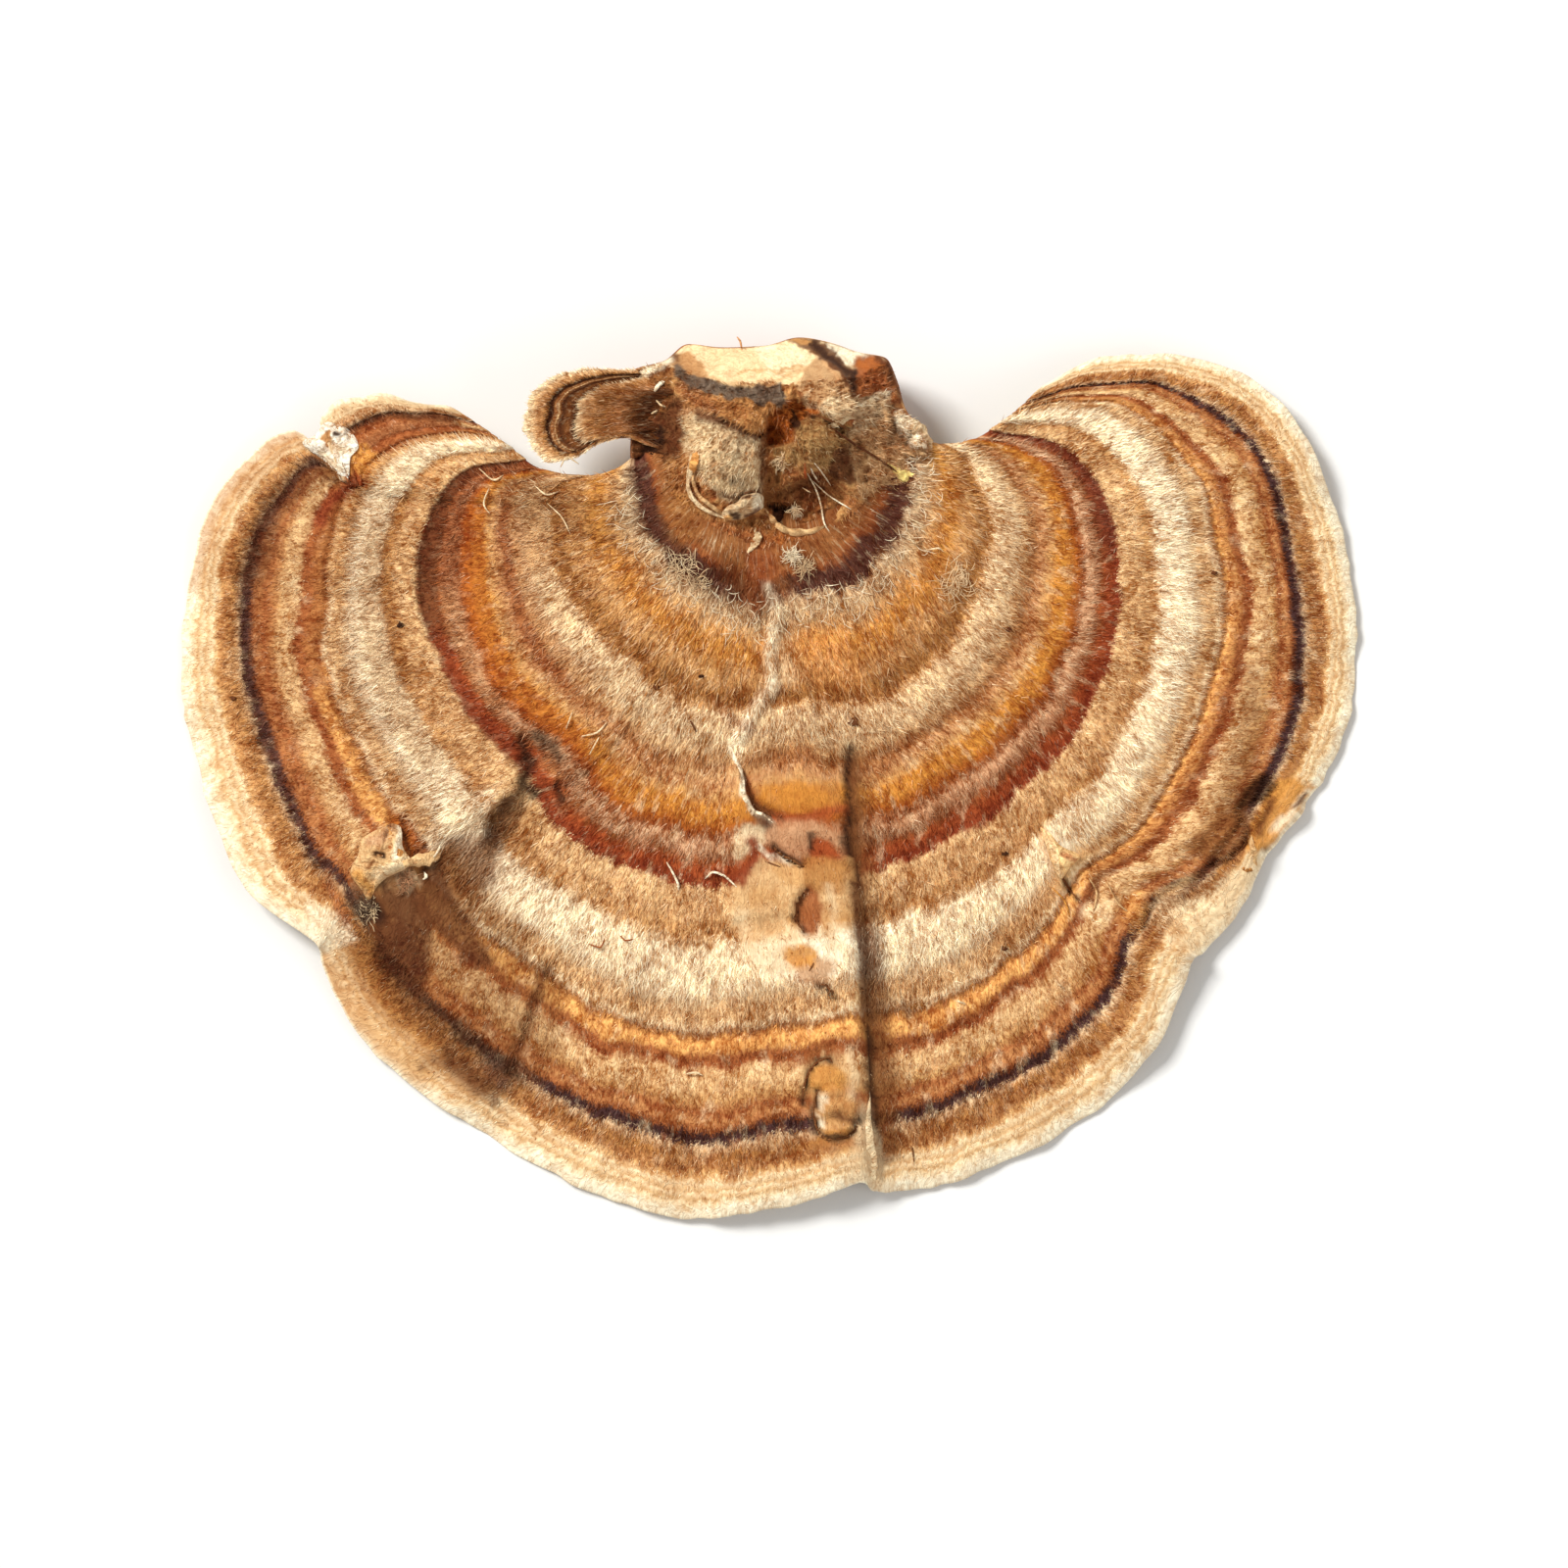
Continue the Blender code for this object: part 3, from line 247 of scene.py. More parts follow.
# Marks on the cap where it was torn or folded, many of them painted shade or painted highlights: the places
# along a line, or round an area where the brackets are square, then in millimetres the half width of the line
# or of the area's soft edge, the colour, its strength, and millimetres up or down
SPOT_MARKS = (
    # Without a colour of their own: crests and furrows
    ((-154, -173, -139, -132), 0.4, None, 0.0, -0.3),
    ((162, -29, 181, -67, 189, -74), 0.18, None, 0.0, -0.4),
    ((290, -42, 297, -40, 305, -33, 319, -16), 0.3, None, 0.0, 0.35),
    ([176, -50, 187, -47, 193, -61, 191, -71, 185, -69], 0.2, None, 0.0, 0.35),
    # Painted shade: a faint brown wash darkens the left lobe a little
    ((-280, 160, -265, 60, -225, -30), 7.5, FOX, 0.14),
    # Painted shade in the hollow behind the left notch and along the crease below it, and the hollow's pale
    # woolly rim
    ((-148, 23, -142, 9, -146, -1, -140, -8), 0.4, SHADE, 0.92, -0.4),
    ((-139, 27, -128, 20, -125, 13), 0.4, SHADE, 0.8),
    ((-133, 10, -125, 3), 0.35, HAZEL, 0.6),
    ((-127, -3, -123, -11), 0.3, SHADE, 0.95),
    ((-155, -13, -164, -34), 0.5, UMBER, 0.8),
    ([-149, -8, -164, -22, -166, -35, -162, -40, -147, -17], 0.4, UMBER, 0.6, -0.5),
    ([-194, -38, -183, -37, -167, -40, -167, -58, -183, -62, -194, -56], 0.5, FOX, 0.75),
    ([-192, -19, -165, -8, -170, -19, -199, -38, -205, -40, -196, -29], 0.3, CREAM, 0.7),
    # The middle lobe lies in brown shade beside the notch
    ([-235, -60, -196, -53, -183, -65, -147, -115, -132, -128, -132, -164, -156, -182, -210, -144, -246,
      -97], 1.1, FOX, 0.5),
    ([-207, -60, -199, -56, -167, -109, -174, -110, -203, -80], 0.35, UMBER, 0.85),
    ([-223, -83, -208, -106, -210, -115, -219, -106, -226, -92], 0.3, UMBER, 0.9),
    ((-235, -93, -230, -105, -210, -131, -152, -176), 0.42, SHADE, 0.85),
    ([-246, -95, -237, -93, -235, -106, -225, -122, -192, -150, -201, -155, -223, -143, -247, -104], 0.35,
      FOX, 0.8),
    ((-249, -95, -242, -118, -226, -143, -204, -163, -174, -184), 0.9, BROWN, 0.75),
    ([-236, -70, -212, -69, -204, -90, -210, -125, -228, -110], 0.5, UMBER, 0.85),
    ((-267, -107, -253, -135, -230, -160, -208, -178), 0.7, TAN, 0.85),
    ((-190, -169, -170, -184), 0.8, UMBER, 0.85),
    # The groove at the right of the torn flap, dark with painted shade, and what lies under the flap's edge:
    # painted shadow, tufts and pale skin
    ([-226, -24, -218, -23, -204, -42, -211, -47, -217, -42, -219, -33], 0.25, DEEP_AMBER, 0.9, -0.5),
    ((-219, -25, -217, -38, -211, -46, -205, -43), 0.2, UMBER, 0.9),
    ((-230, -61, -197, -50), 0.3, SHADE, 0.85),
    ([-250, -73, -244, -67, -237, -71, -234, -80, -242, -83], 0.25, SOOT, 0.5, -0.3),
    ((-237, -72, -232, -78, -233, -86), 0.22, SHADE, 0.95),
    ([-221, -56, -216, -55, -210, -60, -214, -65, -219, -65], 0.2, PALE, 0.7),
    ((-264, -61, -253, -82), 0.4, CHESTNUT, 0.8),
    ([-273, -76, -264, -79, -247, -94, -257, -99, -273, -98], 0.25, CREAM, 0.6),
    # Creases across the middle lobe's left part, painted dark as the shade in their furrows
    ((-132, -111, -147, -155, -164, -194), 0.35, UMBER, 0.7),
    ((-167, -170, -159, -182), 0.5, INK, 0.5),
    ((-209, -173, -197, -164, -179, -156), 0.2, UMBER, 0.6),
    # The fold: its shade on the right, its crest and the cream flare at its end
    ((66, -130, 73, -220), 0.7, FOX, 0.7),
    ((50, 9, 51, -60), 0.4, SHADE, 0.8),
    ((50, -29, 51, -50), 0.4, SHADE, 0.85),
    ((48, 18, 50, -40, 59, -102, 68, -226), 0.55, UMBER, 0.75),
    ((53, 5, 70, -220), 0.8, FOX, 0.6),
    ((48, 21, 46, -2, 47, -9, 46, -36, 52, -59), 0.2, SHADE, 0.95),
    ((52, -59, 57, -144), 0.16, UMBER, 0.7),
    ((59, -149, 61, -188, 66, -220, 67, -238), 0.2, SHADE, 0.9),
    ([56, -196, 63, -214, 66, -245, 49, -245], 0.35, BISCUIT, 0.7),
    # The pale ridge where the skin split, down to the tear
    ((0, 115, 6, 101, 0, 77, 3, 56, -9, 42, -17, 27), 0.35, CREAM, 0.75, 0.45),
    ((-33, 49, -21, 36, -10, 32), 0.29, COCOA, 0.5),
    # The tear: cream knot, crease, lit lip, the shade below it and the glowing skin beyond
    ([-24, 25, -19, 30, -15, 20, -20, 16, -24, 17], 0.15, CREAM, 0.9),
    ([-15, 3, -8, -11, -2, -17, 9, -21, 7, -26, -6, -19, -11, -13], 0.18, COCOA, 0.9, -0.35),
    ([-6, -5, 15, -3, 43, -5, 43, -14, 15, -17, -2, -14], 0.3, AMBER, 0.7),
    ((4, -23, 19, -24, 43, -17), 0.35, RUST, 0.85),
    ((-15, 2, -8, -13, -1, -19, 9, -24), 0.12, UMBER, 0.85),
    ((-15.8, 1.3, -15.2, -7.7, -9.1, -18.6, 2.6, -25.9), 0.13, CREAM, 0.95),
    ([-8, -20, -3, -21, 4, -27, 4, -32, -2, -31, -6, -26], 0.14, SOOT, 0.75),
    ([4, -27, 25, -27, 24, -44, 15, -46, -5, -33], 0.25, GREY_PINK, 0.8),
    ((5, -34, 22, -46), 0.16, GREY_PINK, 0.6),
    ([-18, -33, -13, -27, -6, -29, -5, -37, -18, -45, -20, -42], 0.2, PALE, 0.85),
    ((-5, -40, 0, -45, 9, -49, 19, -51), 0.13, CREAM, 0.8),
    ((3, -40, 7, -44, 21, -52), 0.2, SHADE, 0.92, -0.3),
    ([28, -37, 36, -38, 37, -44, 33, -50, 24, -50], 0.15, RUST, 0.9),
    ((25, -33, 26, -41), 0.2, SHADE, 0.9),
    ([-18, -65, -6, -49, 4, -52, 15, -68, 13, -78, -20, -81], 0.3, HONEY, 0.85, 0.25),
    ((-11, -36, -8, -41, -9, -47, -15, -60), 0.3, DARK_RUST, 0.95),
    ([4, -53, 15, -51, 19, -55, 48, -48, 49, -57, 37, -61, 19, -62, 10, -59], 0.25, TAN, 0.7),
    # The bare plateau below the tear, its oval pit, spot and slit
    ([-19, -82, 0, -76, 16, -96, 12, -111, -9, -114], 0.4, IVORY, 0.6),
    ([-10, -68, 4, -66, 6, -90, -8, -94], 0.3, TAN, 0.6),
    ([22, -48, 44, -49, 42, -66, 24, -65], 0.25, BROWN, 0.85),
    ([20, -108, 36, -110, 34, -120, 20, -118], 0.3, HAZEL, 0.75),
    ((36, -64, 39, -79, 37, -98, 46, -101), 0.3, BISCUIT, 0.6),
    ([24, -64, 29, -70, 30, -82, 28, -91, 22, -92, 17, -85, 17, -74], 0.18, COCOA, 0.9, -0.55),
    ((23, -65, 18, -72, 16, -82, 21, -91), 0.14, SHADE, 0.85),
    ([9, -104, 18, -99, 28, -102, 26, -109, 14, -111], 0.15, GOLDEN, 0.9),
    ((29, -122, 33, -122, 39, -129), 0.15, SHADE, 0.92, -0.3),
    # Two curled loops of skin near the margin: pale arch, dark outlines painted as the shade at their edges,
    # golden piece and tongue
    ((23, -170, 30, -160, 36, -161), 0.3, FOX, 0.5),
    ([26, -174, 31, -171, 39, -172, 44, -178, 42, -186, 33, -185, 26, -181], 0.2, GOLDEN, 0.85, 0.3),
    ([30, -189, 39, -186, 48, -188, 51, -198, 49, -208, 39, -213, 31, -208, 29, -199], 0.2, TAN, 0.85, 0.4),
    ((40, -200, 49, -204), 0.25, UMBER, 0.8),
    ((33, -189, 31, -198, 32, -207), 0.14, CREAM, 0.8),
    ((36, -211, 48, -210), 0.14, AMBER, 0.7),
    ((49, -162, 52, -176, 50, -189), 0.35, BISCUIT, 0.7),
    ((20, -193, 24, -175, 30, -168, 36, -166, 38, -169), 0.2, SHADE, 0.9, -0.35),
    ((30, -185, 27, -197, 28, -206, 31, -212, 36, -215, 47, -213, 52, -209, 53, -204), 0.2, SHADE, 0.9,
      -0.4),
    ((80, -133, 84, -143), 0.11, UMBER, 0.8),
    # The right notch: the lip, the flap and the crack beside the torn patch
    ((162, -29, 164, -41, 168, -51, 174, -56), 0.15, TAN, 0.6),
    ((173, -53, 181, -67, 189, -74), 0.13, SHADE, 0.95),
    ((190, -79, 200, -84), 0.45, PALE, 0.7),
    ((198, -58, 220, -70), 0.6, HONEY, 0.5),
    # The golden tongue, its crack, the ink patch and the grey fuzz
    ([219, -67, 227, -77, 221, -91, 215, -87, 213, -75], 0.15, ORANGE, 0.85),
    ((290, 60, 286, 20, 274, -16, 262, -42), 1.0, FOX, 0.5),
    ([265, -31, 281, -19, 287, -33, 279, -43, 263, -43, 251, -39], 0.4, FOX, 0.9),
    ([293, -49, 271, -85, 257, -101, 239, -93, 235, -81, 255, -73], 0.35, PALE, 0.8),
    ((240, -86, 246, -90), 0.4, TAN, 0.8),
    # What follows the ink ring over the notch's fold
    ((254, -59, 232, -69), 0.35, HONEY, 0.85),
    ((267, -49, 247, -69), 0.35, UMBER, 0.65),
    ((250, -72, 233, -74), 0.3, ASH, 0.8),
    ((228, -75, 226, -83, 222, -89), 0.2, SHADE, 0.9, -0.3),
    # The folded margin: amber inside, with a cream streak that is partly painted highlight and painted shade
    # along its inner side; a hollow behind it painted black as shade; dark lips and spots
    ([303, -3, 313, 1, 327, -6, 305, -33, 297, -40, 290, -42, 287, -33], 0.18, GOLDEN, 0.92),
    ((293, -31, 301, -13), 0.35, FOX, 0.95),
    ((323, -7, 304, -29), 0.25, CREAM, 0.75),
    ([283, -16, 297, -9, 302, -3, 297, 1, 291, -3], 0.3, SHADE, 0.8, -0.55),
    ((281, -20, 287, -31, 285, -39, 275, -47, 265, -51), 0.2, UMBER, 0.9, -0.35),
    ((315, -16, 322, -9), 0.16, UMBER, 0.9),
    ((296, -38, 299, -43), 0.15, SHADE, 0.9),
    # Around the stump's foot
    ((-23, 127, -6, 106, 6, 115), 0.82, FOX, 0.6),
    ((-78, 192, -76, 174, -69, 151), 0.59, PLUM, 0.75),
    ((-69, 151, -50, 130, -26, 112), 0.6, PLUM, 0.6),
    ((39, 124, 71, 142, 83, 171), 0.6, PLUM, 0.4),
    ((-56, 162, -50, 148), 0.94, BROWN, 0.5),
    # Painted shade on the cap below the side bracket
    ((-145, 168, -115, 155, -90, 150), 1.6, FOX, 0.38),
    # Both sides of the open tear in the left lobe, and the browner margin there
    ([-250, 206, -227, 216, -195, 217, -186, 210, -218, 202, -232, 194, -245, 197], 0.25, COCOA, 0.85),
    ((-252, 209, -227, 219, -186, 215), 0.25, UMBER, 0.85),
    ((-264, 214, -259, 219, -241, 224, -223, 226, -206, 224), 0.45, BISCUIT, 0.7),
    ([-250, 198, -242, 199, -235, 190, -240, 183, -249, 184], 0.25, GOLDEN, 0.85),
    ((-248, 181, -241, 178), 0.3, RUST, 0.9),
    ((-276, 192, -268, 190), 0.3, INK, 0.85),
    ([-265, 190, -256, 182, -259, 177, -268, 184], 0.2, FOX, 0.85),
    ((-269, 154, -264, 164, -249, 176), 0.45, DARK_RUST, 0.9),
    ((-310, 124, -296, 165, -275, 183), 1.0, UMBER, 0.65),
    ((-347, 124, -333, 165, -310, 193, -287, 206), 1.0, HAZEL, 0.5),
)

# Heights of the furrows and ridges between the zones: how far out, and millimetres up or down
ZONE_RELIEF = (
    (0.0, 0.0), (0.04, 0.06), (0.07, -0.18), (0.09, 0.06), (0.12, 0.06), (0.16, 0.12), (0.2, 0.1),
    (0.228, -0.1), (0.25, 0.08), (0.285, 0.16), (0.31, 0.08), (0.335, -0.13), (0.355, 0.0), (0.4, 0.17),
    (0.425, 0.05), (0.438, -0.12), (0.455, 0.03), (0.475, -0.06), (0.49, -0.14), (0.507, -0.24),
    (0.522, 0.0), (0.56, 0.07), (0.588, -0.02), (0.608, 0.16), (0.635, 0.3), (0.66, 0.22), (0.685, 0.1),
    (0.7, 0.12), (0.718, 0.06), (0.73, -0.2), (0.745, 0.1), (0.758, 0.1), (0.775, -0.14), (0.79, 0.02),
    (0.815, 0.1), (0.835, -0.02), (0.848, -0.1), (0.86, 0.0), (0.879, -0.25), (0.895, 0.0), (0.915, 0.06),
    (0.936, -0.05), (0.946, 0.05), (0.956, -0.02), (0.966, 0.08), (0.976, 0.02), (0.986, 0.06), (1.0, 0.0),
)
THICKNESS = (
    (0.0, 5.6), (0.08, 4.9), (0.24, 3.2), (0.44, 2.1), (0.73, 1.5), (0.92, 1.2), (0.98, 0.85), (1.0, 0.45),
)
RADIAL_FOLDS = ((17, 0.16, 1.0), (29, 0.1, 2.6), (43, 0.06, 0.4))
MARGIN_DROOP = 0.3
BACK_EDGE_WIDTH = 2.5
REST_SINK = 0.25
CORE_LEVELS = (3.0, 0.8)
CAP_LUMPS = (
    (-22.8, -4.8, 1.8, 1.4, 0.3),
    (-15.0, -15.5, 0.9, 3.0, -0.35),
    (-14.4, 0.6, 0.8, 1.5, -0.4),
    (0.9, -3.2, 1.4, 1.2, 0.3),
    (1.8, -10.6, 1.2, 0.5, -0.25),
    (17.6, -4.6, 1.0, 1.2, 0.4),
    (18.2, -6.4, 0.5, 0.9, -0.4),
    (31.4, -2.0, 0.9, 1.8, 0.3),
)
# Steps where torn skin stands over the skin beside it: a line of places with the raised side on
# its left, the step's height and how far back the raised skin reaches
STEPS = (
    ((3, -26, -4, -21, -9, -19, -12, -14, -15, -8, -16, 1, -20, 13), 0.5, 1.4),
    ((3, -40, 7, -44, 15, -48, 21, -52), 0.4, 0.8),
    ((67, -238, 64, -205, 61, -188, 59, -156, 57, -144, 55, -126, 56, -111, 54, -91, 52, -65, 49, -49, 46,
      -36, 47, -9, 46, -2, 48, 21), 0.3, 0.8),
)
STEP_SOFT_END = 0.12
LATTICE = 256
# The skin between the tear and the fold grew a little behind its neighbours
SECTOR_SHIFT = 0.0175
FAN_DEPTH = 35.0
TOP_ROWS = 162
TOP_CELL = 0.235
EDGE_ROWS = 4
EDGE_BULGE = 0.35
THINNEST_MARGIN = 0.35
THINNEST_FLESH = 0.3
MARGIN_ROWS = 12
UNDER_ROWS = 40


def smooth_between(stations, values, wanted):
    """A smooth curve through values of any shape, which overshoots none, at the wanted stations."""
    stations = np.asarray(stations, float)
    flat = np.reshape(values, (len(stations), -1))
    steps = np.diff(stations)[:, None]
    rises = np.diff(flat, axis=0) / steps
    before = 2 * steps[1:] + steps[:-1]
    after = steps[1:] + 2 * steps[:-1]
    same_way = rises[1:] * rises[:-1] > 0
    pull = before / np.where(same_way, rises[:-1], 1.0) + after / np.where(same_way, rises[1:], 1.0)
    slopes = np.vstack([rises[:1], np.where(same_way, (before + after) / pull, 0.0), rises[-1:]])
    index = np.clip(np.searchsorted(stations, wanted, side="right") - 1, 0, len(stations) - 2)
    step = steps[index]
    part = (wanted - stations[index])[:, None] / step
    rest = 1 - part
    result = flat[index] * (1 + 2 * part) * rest ** 2 + slopes[index] * step * part * rest ** 2
    result += flat[index + 1] * part ** 2 * (3 - 2 * part)
    result -= slopes[index + 1] * step * part ** 2 * rest
    return result.reshape(len(result), *np.shape(values)[1:])


def evenly(values, wanted):
    """The same curve through evenly spaced values, from station 0 to 1."""
    return smooth_between(np.linspace(0.0, 1.0, len(values)), values, wanted)


def profile(pairs, wanted):
    """Height of a drawn profile, given as position and height pairs."""
    table = np.array(pairs)
    return smooth_between(table[:, 0], table[:, 1], np.ravel(wanted)).reshape(np.shape(wanted))


def soft_step(low, high, value):
    part = np.clip((value - low) / (high - low), 0.0, 1.0)
    return part * part * (3 - 2 * part)


def lumps(places, x, y):
    """Sum of soft lumps and pits at the given points."""
    total = np.zeros_like(x)
    for middle_x, middle_y, half_x, half_y, height in places:
        spread = ((x - middle_x) / half_x) ** 2 + ((y - middle_y) / half_y) ** 2
        total += height * np.exp(-spread)
    return total


def wander(x, y, seed):
    """Smooth random heights from -1 to 1, a new one for each unit of x and y."""
    lattice = np.random.default_rng(seed).uniform(-1, 1, (LATTICE, LATTICE))
    column = np.floor(x).astype(int)
    row = np.floor(y).astype(int)
    across = x - column
    along = y - row
    across = across * across * (3 - 2 * across)
    along = along * along * (3 - 2 * along)
    near, far = [lattice[(row + down) % LATTICE, column % LATTICE] * (1 - across)
                 + lattice[(row + down) % LATTICE, (column + 1) % LATTICE] * across for down in (0, 1)]
    return near * (1 - along) + far * along


def near_line(x, y, line):
    """Distance of places from a drawn line, their side of it and how far along it they lie."""
    distance = np.full(x.shape, np.inf)
    side = np.ones(x.shape)
    progress = np.full(x.shape, 0.5)
    for number, ((x0, y0), (x1, y1)) in enumerate(zip(line[:-1], line[1:])):
        run_x = x1 - x0
        run_y = y1 - y0
        share = ((x - x0) * run_x + (y - y0) * run_y) / math.hypot(run_x, run_y) ** 2
        share = np.clip(share, 0.0, 1.0)
        off_x = x - x0 - share * run_x
        off_y = y - y0 - share * run_y
        away = np.hypot(off_x, off_y)
        closer = away < distance
        distance = np.where(closer, away, distance)
        side = np.where(closer, np.sign(run_x * off_y - run_y * off_x), side)
        progress = np.where(closer, (number + share) / (len(line) - 1), progress)
    return distance, side, progress


def drawn(numbers):
    """The places of something drawn, from x and y in tenths of a millimetre."""
    return np.reshape(numbers, (-1, 2)) / 10


def cover(x, y, points, half_width):
    """One on a drawn line or inside an area, fading out over the half width."""
    line = drawn(points)
    inside = np.zeros(x.shape, bool)
    if isinstance(points, list):
        line = np.vstack([line, line[:1]])
        for (x0, y0), (x1, y1) in zip(line[:-1], line[1:]):
            if y0 != y1:
                inside ^= ((y0 > y) != (y1 > y)) & (x < x0 + (y - y0) * (x1 - x0) / (y1 - y0))
    distance, _, _ = near_line(x, y, line)
    return np.exp(-(np.where(inside, 0.0, distance) / half_width) ** 3)


def torn_relief(x, y, marks, steps):
    """Ridges, grooves, areas and steps along one piece's drawn lines."""
    total = np.zeros(x.shape)
    for points, half_width, _, _, *height in marks:
        if height:
            total += height[0] * cover(x, y, points, half_width)
    for points, height, reach in steps:
        distance, side, progress = near_line(x, y, drawn(points))
        ends = soft_step(0.0, STEP_SOFT_END, progress) * (1 - soft_step(1 - STEP_SOFT_END, 1.0, progress))
        raised = height * np.exp(-(distance / reach) ** 2)
        sunk = -0.4 * height * np.exp(-(distance / (0.4 * reach)) ** 2)
        total += np.where(side > 0, raised, sunk) * ends
    return total


line_names = [name for name, _, _ in RADIAL_LINES]
line_heights = np.array([(CORE_HEIGHT, CORE_HEIGHT - 0.5, *heights) for _, heights, _ in RADIAL_LINES])
line_points = drawn([places for _, _, places in RADIAL_LINES]).reshape(-1, len(GROWTH), 2)
line_widths = np.linalg.norm(np.diff(line_points[:, 2:], axis=0), axis=2).mean(axis=1)
line_stations = np.concatenate([[0.0], np.cumsum(line_widths)])
fan_length = line_stations[-1]
line_stations /= fan_length


def fan_columns(cell):
    """Columns round the fan, one on each radial line and more between lines that stand apart."""
    columns = [0.0]
    for start, end in zip(line_stations[:-1], line_stations[1:]):
        count = max(2, round((end - start) * fan_length / cell))
        columns += list(start + (end - start) * np.arange(1, count + 1) / count)
    return np.array(columns)


def fan_places(columns, rows):
    """Places of a grid on the fan, and its heights before any relief."""
    on_rings = smooth_between(line_stations, line_points, columns)
    places = smooth_between(GROWTH, on_rings.transpose(1, 0, 2), rows)
    on_lines = smooth_between(line_stations, line_heights, columns)
    levels = smooth_between(HEIGHT_GROWTH, on_lines.T, rows)
    return places, levels


def radial_folds(columns, rows):
    total = np.zeros((len(rows), len(columns)))
    strength = rows[:, None] ** 1.5
    for count, height, phase in RADIAL_FOLDS:
        drift = 0.8 * np.sin(3 * rows[:, None] + phase)
        total += height * strength * np.sin(2 * math.pi * count * columns[None] + phase + drift)
    return total


def margin_droop(rows):
    return MARGIN_DROOP * np.clip((rows - 0.95) / 0.05, 0.0, 1.0) ** 2


def silky_wrinkles(columns, rows):
    """Fine wrinkles along the fibres, stronger towards the margin, and small dents between."""
    across = columns[None] * fan_length + np.zeros((len(rows), 1))
    outward = rows[:, None] * FAN_DEPTH + np.zeros((1, len(columns)))
    strength = 0.35 + 0.65 * soft_step(0.1, 0.8, rows)[:, None]
    wrinkles = 0.05 * wander(across * 1.1, outward * 0.13, 11)
    wrinkles += 0.03 * wander(across * 2.3 + 7, outward * 0.3, 12)
    dents = 0.07 * wander(across * 0.3, outward * 0.35, 13)
    dents += 0.03 * wander(across * 0.8, outward * 0.9, 14)
    return (wrinkles + dents) * strength


def between_lines(first, last, columns, soft=0.006):
    """One between two named radial lines, zero outside them, with soft ends."""
    low = line_stations[line_names.index(first)]
    high = line_stations[line_names.index(last)]
    return soft_step(low - soft, low + soft, columns) * (1 - soft_step(high - soft, high + soft, columns))


def zone_wobble(columns, rows):
    """How far the growth zones stray in and out from their even spacing."""
    around = columns[None] * fan_length
    outward = rows[:, None]
    wobble = 0.007 * wander(around * 0.25, outward * 9, 15) + 0.005 * wander(around * 0.9, outward * 14, 16)
    behind = between_lines("middle lobe 6", "fold, high side", columns)[None]
    behind = behind * soft_step(0.2, 0.3, outward) * (1 - soft_step(0.48, 0.56, outward))
    inside = soft_step(0.0, 0.05, outward) * (1 - soft_step(0.95, 1.0, outward))
    return (wobble + SECTOR_SHIFT * behind) * inside


def fan_top(columns, rows):
    """Upper surface of the fan at every column and row, in millimetres."""
    places, levels = fan_places(columns, rows)
    relief = profile(ZONE_RELIEF, np.clip(rows[:, None] + zone_wobble(columns, rows), 0.0, 1.0))
    levels = levels + radial_folds(columns, rows) + relief - margin_droop(rows)[:, None]
    levels += lumps(CAP_LUMPS, places[..., 0], places[..., 1])
    levels += torn_relief(places[..., 0], places[..., 1], SPOT_MARKS, STEPS)
    levels += silky_wrinkles(columns, rows)
    return places, levels


def fan_underside(columns, rows):
    """The pore side: the smooth form of the top less the thickness, flat where it rests."""
    places, levels = fan_places(columns, rows)
    from_back = np.minimum(columns, 1 - columns) * fan_length
    side_taper = 0.35 + 0.65 * soft_step(0.0, BACK_EDGE_WIDTH, from_back)
    thickness = profile(THICKNESS, rows)[:, None] * side_taper[None]
    levels = levels + radial_folds(columns, rows)
    levels -= margin_droop(rows)[:, None] + thickness
    sink = REST_SINK * soft_step(0.6, 0.88, rows) * (1 - soft_step(0.96, 1.0, rows))
    return places, np.maximum(levels - sink[:, None], 0.0)


def margin_ways(places):
    """The direction outward at the margin of each column."""
    outward = places[-1] - places[-MARGIN_ROWS]
    return outward / np.linalg.norm(outward, axis=1)[:, None]


def ragged_margin(columns, rows, places):
    """Pulls the outermost rows in and out a little, as the thin edge grows unevenly."""
    around = columns * fan_length
    ragged = 0.12 * wander(around * 0.7, around * 0, 21) + 0.08 * wander(around * 1.9, around * 0, 22)
    return places + margin_ways(places) * ragged[:, None] * soft_step(0.93, 1.0, rows)[:, None, None]


def mesh_object(name, vertices, faces):
    """A smooth mesh object in metres from vertices in millimetres."""
    mesh = bpy.data.meshes.new(name)
    mesh.from_pydata((np.asarray(vertices) * MM).tolist(), [], faces)
    mesh.shade_smooth()
    return placed(name, mesh)


def closed_object(name, vertices, faces):
    """Such an object that is closed, with every face turned outwards."""
    piece = mesh_object(name, vertices, faces)
    build = bmesh.new()
    build.from_mesh(piece.data)
    bmesh.ops.recalc_face_normals(build, faces=build.faces)
    build.to_mesh(piece.data)
    build.free()
    return piece


def point_values(piece, **known):
    """Keeps what the vertices of a piece know under names that nodes can read."""
    kinds = {3: ("FLOAT_VECTOR", "vector"), 4: ("FLOAT_COLOR", "color")}
    for name, values in known.items():
        kind, field = kinds.get(values.shape[-1], ("FLOAT", "value"))
        attribute = piece.data.attributes.new(name, kind, "POINT")
        attribute.data.foreach_set(field, np.ascontiguousarray(values, np.float32).ravel())


def quad_grid(index):
    """Four-sided faces of a grid of vertex numbers."""
    corners = np.stack([index[:-1, :-1], index[:-1, 1:], index[1:, 1:], index[1:, :-1]], axis=-1)
    return corners.reshape(-1, 4).tolist()


